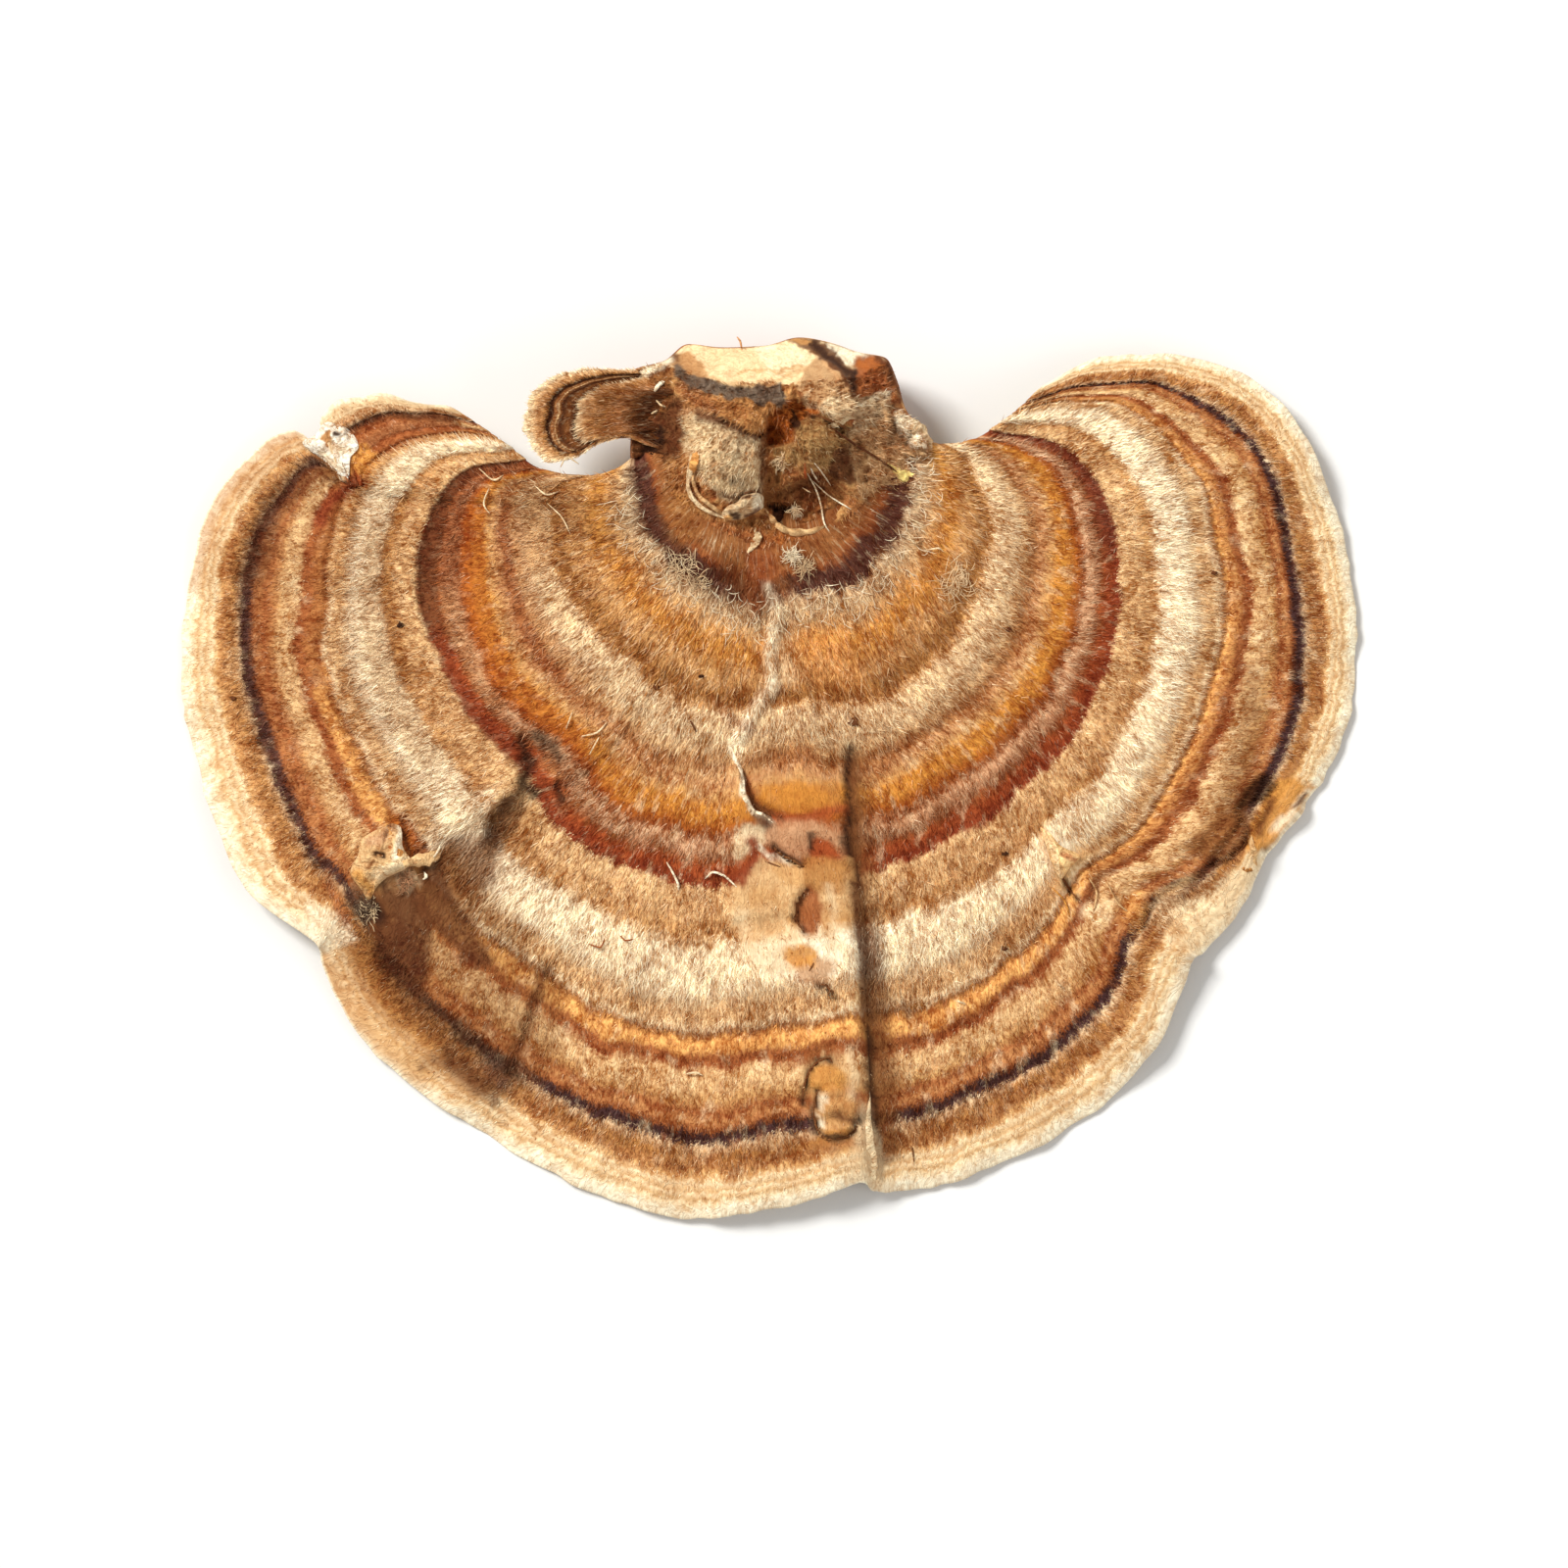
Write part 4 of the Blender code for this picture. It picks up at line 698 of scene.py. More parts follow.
columns = fan_columns(TOP_CELL)
top_rows = np.linspace(0.0, 1.0, TOP_ROWS)
top_places, top_levels = fan_top(columns, top_rows)
top_places = ragged_margin(columns, top_rows, top_places)
under_rows = np.linspace(0.0, 1.0, UNDER_ROWS)
under_places, under_levels = fan_underside(columns, under_rows)
under_places = ragged_margin(columns, under_rows, under_places)
under_levels[-1] = np.clip(under_levels[-1], 0.05, top_levels[-1] - THINNEST_MARGIN)
above = top_levels[np.searchsorted(top_rows, under_rows - 1e-9)]
under_levels = np.minimum(under_levels, above - THINNEST_FLESH)
under_levels = np.maximum(under_levels, 0.0)
core = CORE_LINE[0] + columns[:, None] * np.subtract(CORE_LINE[1], CORE_LINE[0])
core_rows = [np.column_stack([core, np.full(len(columns), level)])[None] for level in CORE_LEVELS]

# The margin is closed by a rounded lip between the last row above and the last row below
turns = math.pi * np.arange(1, EDGE_ROWS)[:, None] / EDGE_ROWS
lean = (1 - np.cos(turns)) / 2
bulge = EDGE_BULGE * (top_levels[-1] - under_levels[-1]) * np.sin(turns)
lip = np.dstack([top_places[-1] + margin_ways(top_places) * bulge[..., None],
                 top_levels[-1] * (1 - lean) + under_levels[-1] * lean])
sheet = np.concatenate([core_rows[0], np.dstack([top_places, top_levels]), lip,
                        np.dstack([under_places, under_levels])[::-1], core_rows[1]])
ring_growth = np.concatenate([[-0.05], top_rows, np.ones(len(lip)), under_rows[::-1], [-0.05]])
index = np.arange(sheet.shape[0] * sheet.shape[1]).reshape(sheet.shape[:2])
sheet_faces = quad_grid(np.vstack([index, index[:1]]))
sheet_points = [sheet.reshape(-1, 3)]


def zip_chains(first, first_at, second, second_at):
    """Triangles between two chains of vertices that run side by side."""
    faces = []
    i = 0
    j = 0
    while i < len(first) - 1 or j < len(second) - 1:
        second_done = j == len(second) - 1
        if second_done or (i < len(first) - 1 and first_at[i + 1] <= second_at[j + 1]):
            faces.append((first[i], first[i + 1], second[j]))
            i += 1
        else:
            faces.append((first[i], second[j + 1], second[j]))
            j += 1
    return faces


# Each back edge of the fan is closed by a rounded wall, through a middle chain that stands out
top_chain = slice(0, TOP_ROWS + 1)
lip_chain = slice(TOP_ROWS + 1, TOP_ROWS + EDGE_ROWS)
under_chain = slice(TOP_ROWS + EDGE_ROWS, None)
under_growth = ring_growth[under_chain][::-1]
for edge, inner in ((0, 1), (-1, -2)):
    above = sheet[top_chain, edge]
    away = above[:, :2] - sheet[top_chain, inner, :2]
    away /= np.linalg.norm(away, axis=1)[:, None] + 1e-9
    low = np.interp(ring_growth[top_chain], under_growth, sheet[under_chain, edge, 2][::-1])
    spots = above[:, :2] + away * (EDGE_BULGE * (above[:, 2] - low))[:, None]
    middle = sum(len(part) for part in sheet_points) + np.arange(len(above))
    sheet_points.append(np.column_stack([spots, (above[:, 2] + low) / 2]))
    rims = index[:, edge]
    sheet_faces += quad_grid(np.column_stack([rims[top_chain], middle]))
    sheet_faces += zip_chains(middle, ring_growth[top_chain], rims[under_chain][::-1], under_growth)
    sheet_faces.append((middle[-1], rims[TOP_ROWS], *rims[lip_chain], rims[under_chain][0]))
    sheet_faces.append((middle[0], rims[0], rims[-1]))
fan = closed_object("cap_fan", np.concatenate(sheet_points), sheet_faces)

# The zones of the cap from the stump out to the margin: where each colour is reached
CAP_ZONES = (
    (0.0, BARE), (0.03, BARE), (0.045, COCOA), (0.055, PLUM), (0.082, PLUM), (0.09, FRINGE),
    (0.108, BISCUIT), (0.12, HONEY), (0.148, GOLDEN), (0.165, GOLDEN), (0.185, TAN), (0.2, TAN),
    (0.216, BROWN), (0.232, BROWN), (0.24, TAN), (0.252, PALE), (0.276, PALE), (0.295, BISCUIT),
    (0.318, WARM_TAN), (0.328, HAZEL), (0.342, HAZEL), (0.35, PINK_CREAM), (0.372, TAN), (0.388, AMBER),
    (0.407, AMBER), (0.424, DEEP_AMBER), (0.436, CHESTNUT), (0.448, GREY_PINK), (0.464, GREY_PINK),
    (0.477, COCOA), (0.488, RUST), (0.507, DARK_RUST), (0.513, DARK_RUST), (0.523, HONEY), (0.53, WARM_TAN),
    (0.56, WARM_TAN), (0.59, TAN), (0.602, BISCUIT), (0.613, CREAM), (0.666, CREAM), (0.68, BISCUIT),
    (0.698, HONEY), (0.71, HONEY), (0.722, PALE), (0.729, HAZEL), (0.733, BROWN), (0.741, ORANGE),
    (0.755, ORANGE), (0.765, CHESTNUT), (0.778, COCOA), (0.788, WARM_TAN), (0.812, HONEY), (0.829, TAN),
    (0.842, CHESTNUT), (0.853, HAZEL), (0.868, CHESTNUT), (0.875, INK), (0.887, INK), (0.895, FRINGE),
    (0.907, BROWN), (0.928, HAZEL), (0.936, TAN), (0.942, WARM_TAN), (0.948, IVORY), (0.958, HONEY),
    (0.964, IVORY), (0.972, WARM_TAN), (0.979, IVORY), (0.992, CREAM),
)
RAMP_STOPS = 32

# Where a zone looks different on one part of the cap, or lies in painted shadow: first and last radial line,
# growth from and to, colour and strength
ZONE_STAINS_AND_SHADOW = (
    ("left back edge", "left lobe 3", 0.24, 0.285, TAN, 0.7),
    ("tear, inner end", "left lobe 6", 0.288, 0.316, HAZEL, 0.6),
    ("tear, inner end", "left lobe 6", 0.32, 0.346, COCOA, 0.75),
    ("tear, inner end", "left lobe 8", 0.385, 0.436, DEEP_AMBER, 0.6),
    ("left back edge", "left lobe 3", 0.44, 0.475, COCOA, 0.8),
    ("left lobe 3", "left lobe 6", 0.44, 0.472, HAZEL, 0.5),
    ("left back edge", "left lobe 4", 0.476, 0.516, UMBER, 0.85),
    ("left lobe 4", "left lobe 8", 0.486, 0.517, DARK_RUST, 0.7),
    ("tear, inner end", "left lobe 5", 0.573, 0.6, BROWN, 0.75),
    ("left lobe 1", "left lobe 7", 0.602, 0.64, BISCUIT, 0.8),
    ("left back edge", "left lobe 3", 0.69, 0.725, TAN, 0.7),
    ("left back edge", "left lobe 5", 0.729, 0.765, COCOA, 0.75),
    ("left lobe 1", "left lobe 8", 0.82, 0.86, CHESTNUT, 0.55),
    ("left lobe 1", "left lobe 7", 0.864, 0.888, INK, 0.5),
    # Painted shadow that the raised left lobe casts on the middle lobe beside the notch
    ("left notch, lower side", "middle lobe 1", 0.52, 0.94, BROWN, 0.6),
    ("middle lobe 3", "middle lobe 6", 0.33, 0.345, WARM_TAN, 0.6),
    ("middle lobe 4", "fold, high side", 0.0, 0.085, RUST, 0.5),
    ("middle lobe 6", "fold, high side", 0.085, 0.2, PALE, 0.6),
    ("fold, high side", "middle lobe 8", 0.13, 0.22, ORANGE, 0.5),
    ("fold, low side", "right notch, left side", 0.6, 0.665, CREAM, 0.5),
    ("middle lobe 8", "right notch, left side", 0.668, 0.705, TAN, 0.45),
    ("right lobe 6", "right back edge", 0.475, 0.512, PLUM, 0.5),
    ("right notch, right side", "right lobe 5", 0.69, 0.706, BROWN, 0.5),
    ("right notch, right side", "right back edge", 0.742, 0.768, CHESTNUT, 0.5),
    ("right lobe 2", "right lobe 7", 0.866, 0.89, INK, 0.6),
    ("tear, left side", "left notch, upper side", 0.896, 0.93, TAN, 0.4),
)
# Where the skin is bare or its hairs are short: the tear with the plateau below it, the curled loops,
# the foot of the fold and both notches
BARE_AREAS = (
    ([-19, 6, 46, 2, 52, -80, 36, -116, -6, -112, -22, -80, -14, -30], 0.4),
    ([20, -166, 46, -162, 56, -190, 58, -224, 26, -218], 0.4),
    ((49, 16, 56, -120, 68, -240), 0.45),
    ([-256, -66, -204, -50, -186, -68, -230, -94], 0.4),
    ([162, -29, 190, -44, 178, -68], 0.3),
    ((314, 4, 300, -34, 276, -64), 0.8),
)
BARENESS = 0.85

# How far a drawn mark's edge strays, in millimetres
STRAY = 0.14


def laid_over(below, share, colour):
    """A colour laid over others, all kept multiplied by how much they cover."""
    return share[..., None] * (*colour, 1.0) + below * (1 - share)[..., None]


def drawn_stains(x, y, marks, total, stray=STRAY):
    """Lays the colours of drawn marks, stains and painted shade alike, over what colours the given places
    already.
    """
    bent = [place + stray * (wander(x * 1.7 + 50, y * 1.7 + 50, seed) + 0.5 * wander(x * 5, y * 5, seed + 4))
            for place, seed in ((x, 41), (y, 42))]
    for points, half_width, colour, strength, *_ in marks:
        if colour:
            total = laid_over(total, strength * cover(*bent, points, half_width), colour)
    return total


def bare_skin(places):
    """How far each place lies in one of the bare areas, from 0 to 1."""
    covers = [cover(places[..., 0], places[..., 1], *area) for area in BARE_AREAS]
    return BARENESS * np.max(covers, axis=0)


def stains(columns, rows, places):
    """Colour that the stains and painted shade give each place of a fan grid, multiplied by its cover, and
    cover.
    """
    total = np.zeros(places.shape[:2] + (4,))
    strayed = rows[:, None] + zone_wobble(columns, rows)
    for first, last, low, high, colour, strength in ZONE_STAINS_AND_SHADOW:
        share = soft_step(low - 0.005, low + 0.004, strayed) * between_lines(first, last, columns, 0.012)
        share = share * (1 - soft_step(high - 0.004, high + 0.005, strayed))
        total = laid_over(total, strength * share, colour)
    return drawn_stains(places[..., 0], places[..., 1], SPOT_MARKS, total)


# What each vertex of the fan knows: how far out and round it lies, if it is below, stain and painted shade,
# bareness
known = np.zeros(sheet.shape[:2] + (8,))
known[..., 0] = ring_growth[:, None]
known[..., 1] = columns
known[TOP_ROWS + 1:, :, 2] = np.minimum(np.arange(1, len(known) - TOP_ROWS) / EDGE_ROWS, 1.0)[:, None]
on_top = known[1:TOP_ROWS + 1]
on_top[..., 0] += zone_wobble(columns, top_rows)
on_top[..., 3:7] = stains(columns, top_rows, top_places)
on_top[..., 7] = bare_skin(top_places)
known = np.concatenate([known.reshape(-1, 8), known[top_chain, 0], known[top_chain, -1]])
point_values(fan, growth=known[:, 0], around=known[:, 1], stain=known[:, 3:7], bare=known[:, 7])


class Field:
    """What a tree's nodes work out at each place. Arithmetic with it adds nodes to the tree."""

    def __init__(self, socket):
        self.socket = socket

    def maths(self, operation, other=0.0):
        return made(self.socket.id_data, "ShaderNodeMath", {0: self, 1: other}, operation=operation)

    def __add__(self, other):
        return self.maths("ADD", other)

    def __sub__(self, other):
        return self.maths("SUBTRACT", other)

    def __mul__(self, other):
        return self.maths("MULTIPLY", other)

    def between(self, low, high):
        return self.maths("MAXIMUM", low).maths("MINIMUM", high)


def feed(entry, value):
    """Gives an input of a node a value, or another node's output."""
    if isinstance(value, Field):
        entry.id_data.links.new(value.socket, entry)
    else:
        entry.default_value = (*value, 1.0) if entry.type == "RGBA" else value


def made(tree, kind, entries, output=0, **settings):
    """Adds a node with its settings and what its inputs are fed, and gives one of its outputs."""
    node = tree.nodes.new(kind)
    for name, value in settings.items():
        setattr(node, name, value)
    for name, value in entries.items():
        feed(node.inputs[name], value)
    return Field(node.outputs[output])


def kept(tree, name, output="Fac"):
    """What each vertex knows under a name."""
    return made(tree, "ShaderNodeAttribute", {}, output, attribute_name=name)


def mixed(tree, share, first, second, blend="MIX"):
    """The two colours mixed by a share."""
    return made(tree, "ShaderNodeMix", {0: share, 6: first, 7: second}, 2, data_type="RGBA", blend_type=blend)


def noise(tree, scale, detail, curl=0.0, place=None):
    """Noise in the object's own space, or by the given place."""
    place = place or made(tree, "ShaderNodeTexCoord", {}, "Object")
    return made(tree, "ShaderNodeTexNoise", {
        "Vector": place, "Scale": scale, "Detail": detail, "Roughness": 0.6, "Distortion": curl}, "Fac")


def swing(value, strength):
    """Noise moved to swing about zero, by so much."""
    return (value - 0.5) * strength


def strands(value, sharpness):
    """Thin lines along the middle level of a noise: 1 on them and 0 beside them."""
    return (swing(value, sharpness).maths("ABSOLUTE") * -1.0 + 1.0).maths("MAXIMUM")


def over(value, level, steepness, most):
    """How far a value rises over a level, at most so much: for patches of another colour."""
    return ((value - level) * steepness).between(0.0, most)


def zone_colours(tree, zones, growth):
    """The colour of each zone, from one ramp after another, as each holds only so many stops."""
    colour = None
    for first in range(0, len(zones) - 1, RAMP_STOPS - 1):
        part = zones[first:first + RAMP_STOPS]
        start = part[0][0]
        length = part[-1][0] - start
        ramp = tree.nodes.new("ShaderNodeValToRGB")
        stops = ramp.color_ramp.elements
        stops.remove(stops[0])
        for place, tone in part:
            stop = stops[0] if place == start else stops.new((place - start) / length)
            stop.position = (place - start) / length
            stop.color = (*tone, 1.0)
        feed(ramp.inputs["Fac"], (growth - start) * (1 / length))
        here = Field(ramp.outputs["Color"])
        colour = mixed(tree, growth.maths("GREATER_THAN", start), colour, here) if first else here
    return colour


def stained(tree, colour, fine):
    """Lays the piece's stains and painted shade over a colour, with edges that fine noise roughens."""
    share = (fine * 0.9 + 0.6).maths("MINIMUM", 1.0)
    left = mixed(tree, kept(tree, "stain", "Alpha") * share, colour, (0.0, 0.0, 0.0))
    return mixed(tree, share, left, kept(tree, "stain", "Color"), "ADD")


def finish_skin(material, colour, light, relief, depth, hair=False):
    """Gives the shader its relief and its colour, made lighter or darker by random tone and by painted
    highlights and shade; dark hair is also warmer.
    """
    tree = material.node_tree
    shader = tree.nodes["Principled BSDF"]
    if hair:
        hair_light = kept(tree, "hair_light")
        lightness = made(tree, "ShaderNodeSeparateColor", {"Color": colour}, "Red")
        colour = mixed(tree, over(hair_light, 0.3, 2.2, 0.4) * lightness, colour, CREAM)
        light = light + hair_light
    light = light.between(-0.7, 0.6)
    grey = made(tree, "ShaderNodeCombineColor", {
        "Red": light * 0.66 + 1.0, "Green": light + 1.0, "Blue": light * 1.25 + 1.0})
    feed(shader.inputs["Base Color"], mixed(tree, 1.0, colour, grey, "MULTIPLY"))
    feed(shader.inputs["Specular IOR Level"], 0.15)
    if not hair:
        feed(shader.inputs["Normal"], made(tree, "ShaderNodeBump", {
            "Strength": 0.8, "Distance": depth, "Height": relief}))
    return material


def zoned_flesh(name, zones, hair=False):
    """The banded upper side: zones by growth, broken up by streaks along the fibres."""
    material = plain_material(name, TAN, 0.8)
    tree = material.node_tree
    growth = kept(tree, "growth")
    around = kept(tree, "around")

    def streaks(across, along, detail, start=0.0, curl=0.0):
        place = {"X": around * across, "Y": growth * along, "Z": start}
        return noise(tree, 1.0, detail, curl, made(tree, "ShaderNodeCombineXYZ", place))

    broad = streaks(150.0, 18.0, 2.0)
    fine = streaks(430.0, 55.0, 3.0)
    bleach = streaks(120.0, 26.0, 4.0, 4.0)
    soil = streaks(170.0, 40.0, 4.0, 9.0)
    # Painted highlights along lit strands of hair, and painted shade in the gaps between tufts, which are
    # also sunk in the relief
    lit_strands = strands(streaks(330.0, 46.0, 2.0, 14.0, 1.2), 9.0)
    shaded_gaps = strands(streaks(260.0, 40.0, 2.0, 19.0, 1.2), 10.0)
    drift = noise(tree, 380.0, 3.0)
    wool = noise(tree, 1100.0, 4.0, 1.6)
    shifted = growth + swing(broad, 0.02) + swing(fine, 0.022) + swing(drift, 0.016) + swing(wool, 0.012)
    colour = zone_colours(tree, zones, shifted)
    palest = over(growth, 0.6, 80.0, 1.0) * over(growth, 0.69, -80.0, 1.0)
    calm = (over(growth, 0.925, 40.0, 1.0) * -0.6 + 1.0) * (kept(tree, "bare") * -0.75 + 1.0)
    calm = calm * (palest * -0.4 + 1.0)
    colour = mixed(tree, calm * over(bleach, 0.54, 4.0, 0.35), colour, PALE)
    colour = mixed(tree, calm * over(soil, 0.55, 4.0, 0.35), colour, CHESTNUT)
    light = swing(fine, 1.5) + swing(broad, 0.8) + lit_strands * 0.35 + shaded_gaps * -0.5
    light = light * (over(growth, 0.075, -25.0, 1.0) * -0.5 + 1.0)
    light = (light + swing(wool, 2.2) + swing(drift, 1.75)) * calm
    return finish_skin(material, stained(tree, colour, fine), light, fine + wool * 0.8 + shaded_gaps * -0.4,
                       0.00009, hair)


def pore_layer(name):
    """The underside: pale flesh with round pores, 4 to a millimetre, and a bare rim."""
    material = plain_material(name, TAN, 0.85)
    tree = material.node_tree
    place = made(tree, "ShaderNodeTexCoord", {}, "Object")
    pores = made(tree, "ShaderNodeTexVoronoi", {"Vector": place, "Scale": 4000.0}, "Distance")
    bare_rim = kept(tree, "growth").maths("GREATER_THAN", 0.955)
    filled = over(pores, 0.15, 3.3, 1.0).maths("MAXIMUM", bare_rim)
    drift = noise(tree, 180.0, 3.0)
    wall = mixed(tree, drift, linear(226, 204, 164), linear(196, 160, 112))
    # Each pore's hole is coloured darker than its walls: painted shade in the hole
    return finish_skin(material, mixed(tree, filled, linear(150, 112, 70), wall), swing(drift, 0.1), filled,
                       0.0001)


def two_skins(piece, skins, second):
    """Gives a piece two materials, the second on the faces whose vertices are mostly chosen."""
    chosen = [np.mean(second[list(face.vertices)]) > 0.6 for face in piece.data.polygons]
    for skin in skins:
        piece.data.materials.append(skin)
    piece.data.polygons.foreach_set("material_index", np.array(chosen, np.int32))


pores = pore_layer("pore_layer")
two_skins(fan, (zoned_flesh("zoned_flesh", CAP_ZONES), pores), known[:, 2])
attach(fan, "root")
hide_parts("cap")

# The velvet of the cap: fine hairs that lie flat and point outward, dense on the pale zones and
# sparse on the silky dark and amber ones. Each is a closed spike that grew from the cap's skin.
HAIR_COLUMN_CELL = 0.4
HAIR_ROWS = 140
HAIRINESS = (
    (0.0, 0.2), (0.045, 0.25), (0.075, 0.8), (0.1, 1.0), (0.14, 0.55), (0.2, 0.6), (0.23, 0.8), (0.26, 1.0),
    (0.31, 0.8), (0.34, 0.5), (0.37, 0.3), (0.42, 0.18), (0.44, 0.6), (0.46, 0.8), (0.48, 0.4),
    (0.505, 0.25), (0.52, 0.7), (0.57, 0.7), (0.6, 0.9), (0.65, 1.0), (0.69, 0.8), (0.72, 0.6), (0.74, 0.2),
    (0.765, 0.2), (0.79, 0.5), (0.82, 0.45), (0.85, 0.25), (0.87, 0.7), (0.9, 0.8), (0.93, 0.4),
    (0.95, 0.15), (1.0, 0.05),
)
HAIR_LENGTH = (
    (0.0, 0.35), (0.06, 0.4), (0.09, 0.6), (0.12, 0.5), (0.24, 0.6), (0.32, 0.5), (0.4, 0.38), (0.45, 0.5),
    (0.5, 0.38), (0.55, 0.45), (0.6, 0.55), (0.66, 0.65), (0.72, 0.42), (0.76, 0.25), (0.85, 0.3),
    (0.89, 0.45), (0.94, 0.25), (1.0, 0.15),
)
HAIR_WIDTH = 0.07
HAIR_GROUPS = 4
HAIRS_IN_GROUP = 42000
ROOT_SHIFT = 0.008


def hair_spike():
    """One hair of unit length and width along +Z: a slim closed spike."""
    turns = [2 * math.pi * side / 3 for side in range(3)]
    base = [(0.5 * math.cos(turn), 0.5 * math.sin(turn), 0.0) for turn in turns]
    mesh = bpy.data.meshes.new("hair_spike")
    mesh.from_pydata(base + [(0.0, 0.0, 1.0)], [], [(0, 2, 1), (0, 1, 3), (1, 2, 3), (2, 0, 3)])
    return bpy.data.objects.new("hair_spike", mesh)


def hair_tree():
    """Nodes that stand spikes on a surface: how many, how wide, how unruly and which seed."""
    tree = bpy.data.node_groups.new("Lay hairs", "GeometryNodeTree")
    for name, kind in (("Surface", "Geometry"), ("Hair", "Object"), ("Per Square Metre", "Float"),
                       ("Width", "Float"), ("Unruliness", "Float"), ("Seed", "Int"), ("Finish", "Material")):
        tree.interface.new_socket(name, in_out="INPUT", socket_type="NodeSocket" + kind)
    tree.interface.new_socket("Hairs", in_out="OUTPUT", socket_type="NodeSocketGeometry")
    given = {socket.name: Field(socket) for socket in tree.nodes.new("NodeGroupInput").outputs}

    def known(name, kind="FLOAT"):
        return made(tree, "GeometryNodeInputNamedAttribute", {"Name": name}, "Attribute", data_type=kind)

    def chance(low, high, offset):
        return made(tree, "FunctionNodeRandomValue", {2: low, 3: high, "Seed": given["Seed"] + offset}, 1,
                    data_type="FLOAT")

    points = made(tree, "GeometryNodeDistributePointsOnFaces", {
        "Mesh": given["Surface"], "Density": given["Per Square Metre"] * known("hairiness"),
        "Seed": given["Seed"]}, distribute_method="RANDOM")
    points = made(tree, "GeometryNodeStoreNamedAttribute", {
        "Geometry": points, "Name": "hair_light", "Value": chance(-0.45, 0.5, 17)},
        data_type="FLOAT", domain="POINT")
    astray = made(tree, "FunctionNodeRandomValue", {
        0: (-1.0, -1.0, -1.0), 1: (1.0, 1.0, 1.0), "Seed": given["Seed"] + 5}, data_type="FLOAT_VECTOR")
    astray = made(tree, "ShaderNodeVectorMath", {0: astray, "Scale": given["Unruliness"]}, operation="SCALE")
    lean = made(tree, "ShaderNodeVectorMath", {0: known("lie", "FLOAT_VECTOR"), 1: astray}, operation="ADD")
    width = given["Width"] * chance(0.6, 1.3, 13)
    size = {"X": width, "Y": width, "Z": known("hair_length") * chance(0.3, 1.5, 9)}
    hair = made(tree, "GeometryNodeObjectInfo", {"Object": given["Hair"]}, "Geometry")
    standing = made(tree, "GeometryNodeInstanceOnPoints", {
        "Points": points, "Instance": hair,
        "Rotation": made(tree, "FunctionNodeAlignRotationToVector", {"Vector": lean}, axis="Z"),
        "Scale": made(tree, "ShaderNodeCombineXYZ", size)})
    whole = made(tree, "GeometryNodeRealizeInstances", {"Geometry": standing})
    finished = made(tree, "GeometryNodeSetMaterial", {"Geometry": whole, "Material": given["Finish"]})
    feed(tree.nodes.new("NodeGroupOutput").inputs["Hairs"], finished)
    return tree


def hair_coat(name, places, levels, known, count, unruliness, seed, finish):
    """So many hairs on a grid of places and heights whose points know the given values."""
    bed = mesh_object("hair_bed", np.dstack([places, levels]).reshape(-1, 3),
                      quad_grid(np.arange(levels.size).reshape(levels.shape)))
    point_values(bed, **known)
    area = sum(face.area for face in bed.data.polygons)
    values = {"Hair": spike, "Per Square Metre": float(count / (area * known["hairiness"].mean())),
              "Width": HAIR_WIDTH * MM, "Unruliness": unruliness, "Seed": seed, "Finish": finish}
    modifier = bed.modifiers.new("Grow", "NODES")
    modifier.node_group = lay_hairs
    for item in lay_hairs.interface.items_tree:
        if item.name in values:
            modifier[item.identifier] = values[item.name]
    bpy.context.view_layer.update()
    grown = bed.evaluated_get(bpy.context.evaluated_depsgraph_get())
    coat = placed(name, bpy.data.meshes.new_from_object(grown))
    bpy.data.objects.remove(bed, do_unlink=True)
    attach(coat, "root")


def outward_lie(places, levels, lift):
    """The direction that hairs point in on a grid: outward along it and a little up."""
    outward = np.gradient(np.dstack([places, levels]), axis=0)
    outward /= np.linalg.norm(outward, axis=2)[..., None] + 1e-9
    outward[..., 2] += lift
    return outward / np.linalg.norm(outward, axis=2)[..., None]


hair_columns = fan_columns(HAIR_COLUMN_CELL)
hair_rows = np.linspace(0.0, 0.992, HAIR_ROWS)
hair_places, hair_levels = fan_top(hair_columns, hair_rows)
clad = 1 - bare_skin(hair_places)
cap_hair = {
    "growth": hair_rows[:, None] + zone_wobble(hair_columns, hair_rows) + ROOT_SHIFT,
    "around": np.tile(hair_columns, (HAIR_ROWS, 1)),
    "hairiness": profile(HAIRINESS, hair_rows)[:, None] * clad,
    "hair_length": profile(HAIR_LENGTH, hair_rows)[:, None] * (0.4 + 0.6 * clad) * MM,
    "lie": outward_lie(hair_places, hair_levels, 0.16),
    "stain": stains(hair_columns, hair_rows, hair_places)}
spike = hair_spike()
lay_hairs = hair_tree()
velvet = zoned_flesh("velvet_hair", CAP_ZONES, hair=True)
for group in range(HAIR_GROUPS):
    hair_coat(f"velvet_{group + 1}", hair_places, hair_levels, cap_hair, HAIRS_IN_GROUP,
              0.35 + 0.15 * group, 40 + group, velvet)

# The torn stump that held the cap to its log: two furry lumps with a split between them, a cracked
# flap and a membrane at the right, and the flat pale cut along its back. It grew with the cap.
STUMP_TOP = 9.3
STUMP_SHOULDER = 6.5
STUMP_FRONT_SLOPE = (14.6, 20.4)
STUMP_SIDE_SLOPE = (3.0, 8.4)
STUMP_OUTLINE = (94, 194, 89, 209, 80, 221, 75, 238, 68, 251, 53, 254, 36, 260, 18, 263, -3, 258, -26, 257,
    -47, 259, -61, 249, -79, 243, -80, 218, -81, 194, -76, 178, -60, 160, -38, 142, 0, 132, 36, 140, 60,
    156, 82, 174)
STUMP_MIDDLE = (0.4, 20.2)
STUMP_SIDES = 380
STUMP_RINGS = 105
STUMP_WALL = ((0.93, 1.01), (0.8, 1.02), (0.6, 1.0), (0.4, 0.97), (0.2, 0.9), (0.0, 0.8))
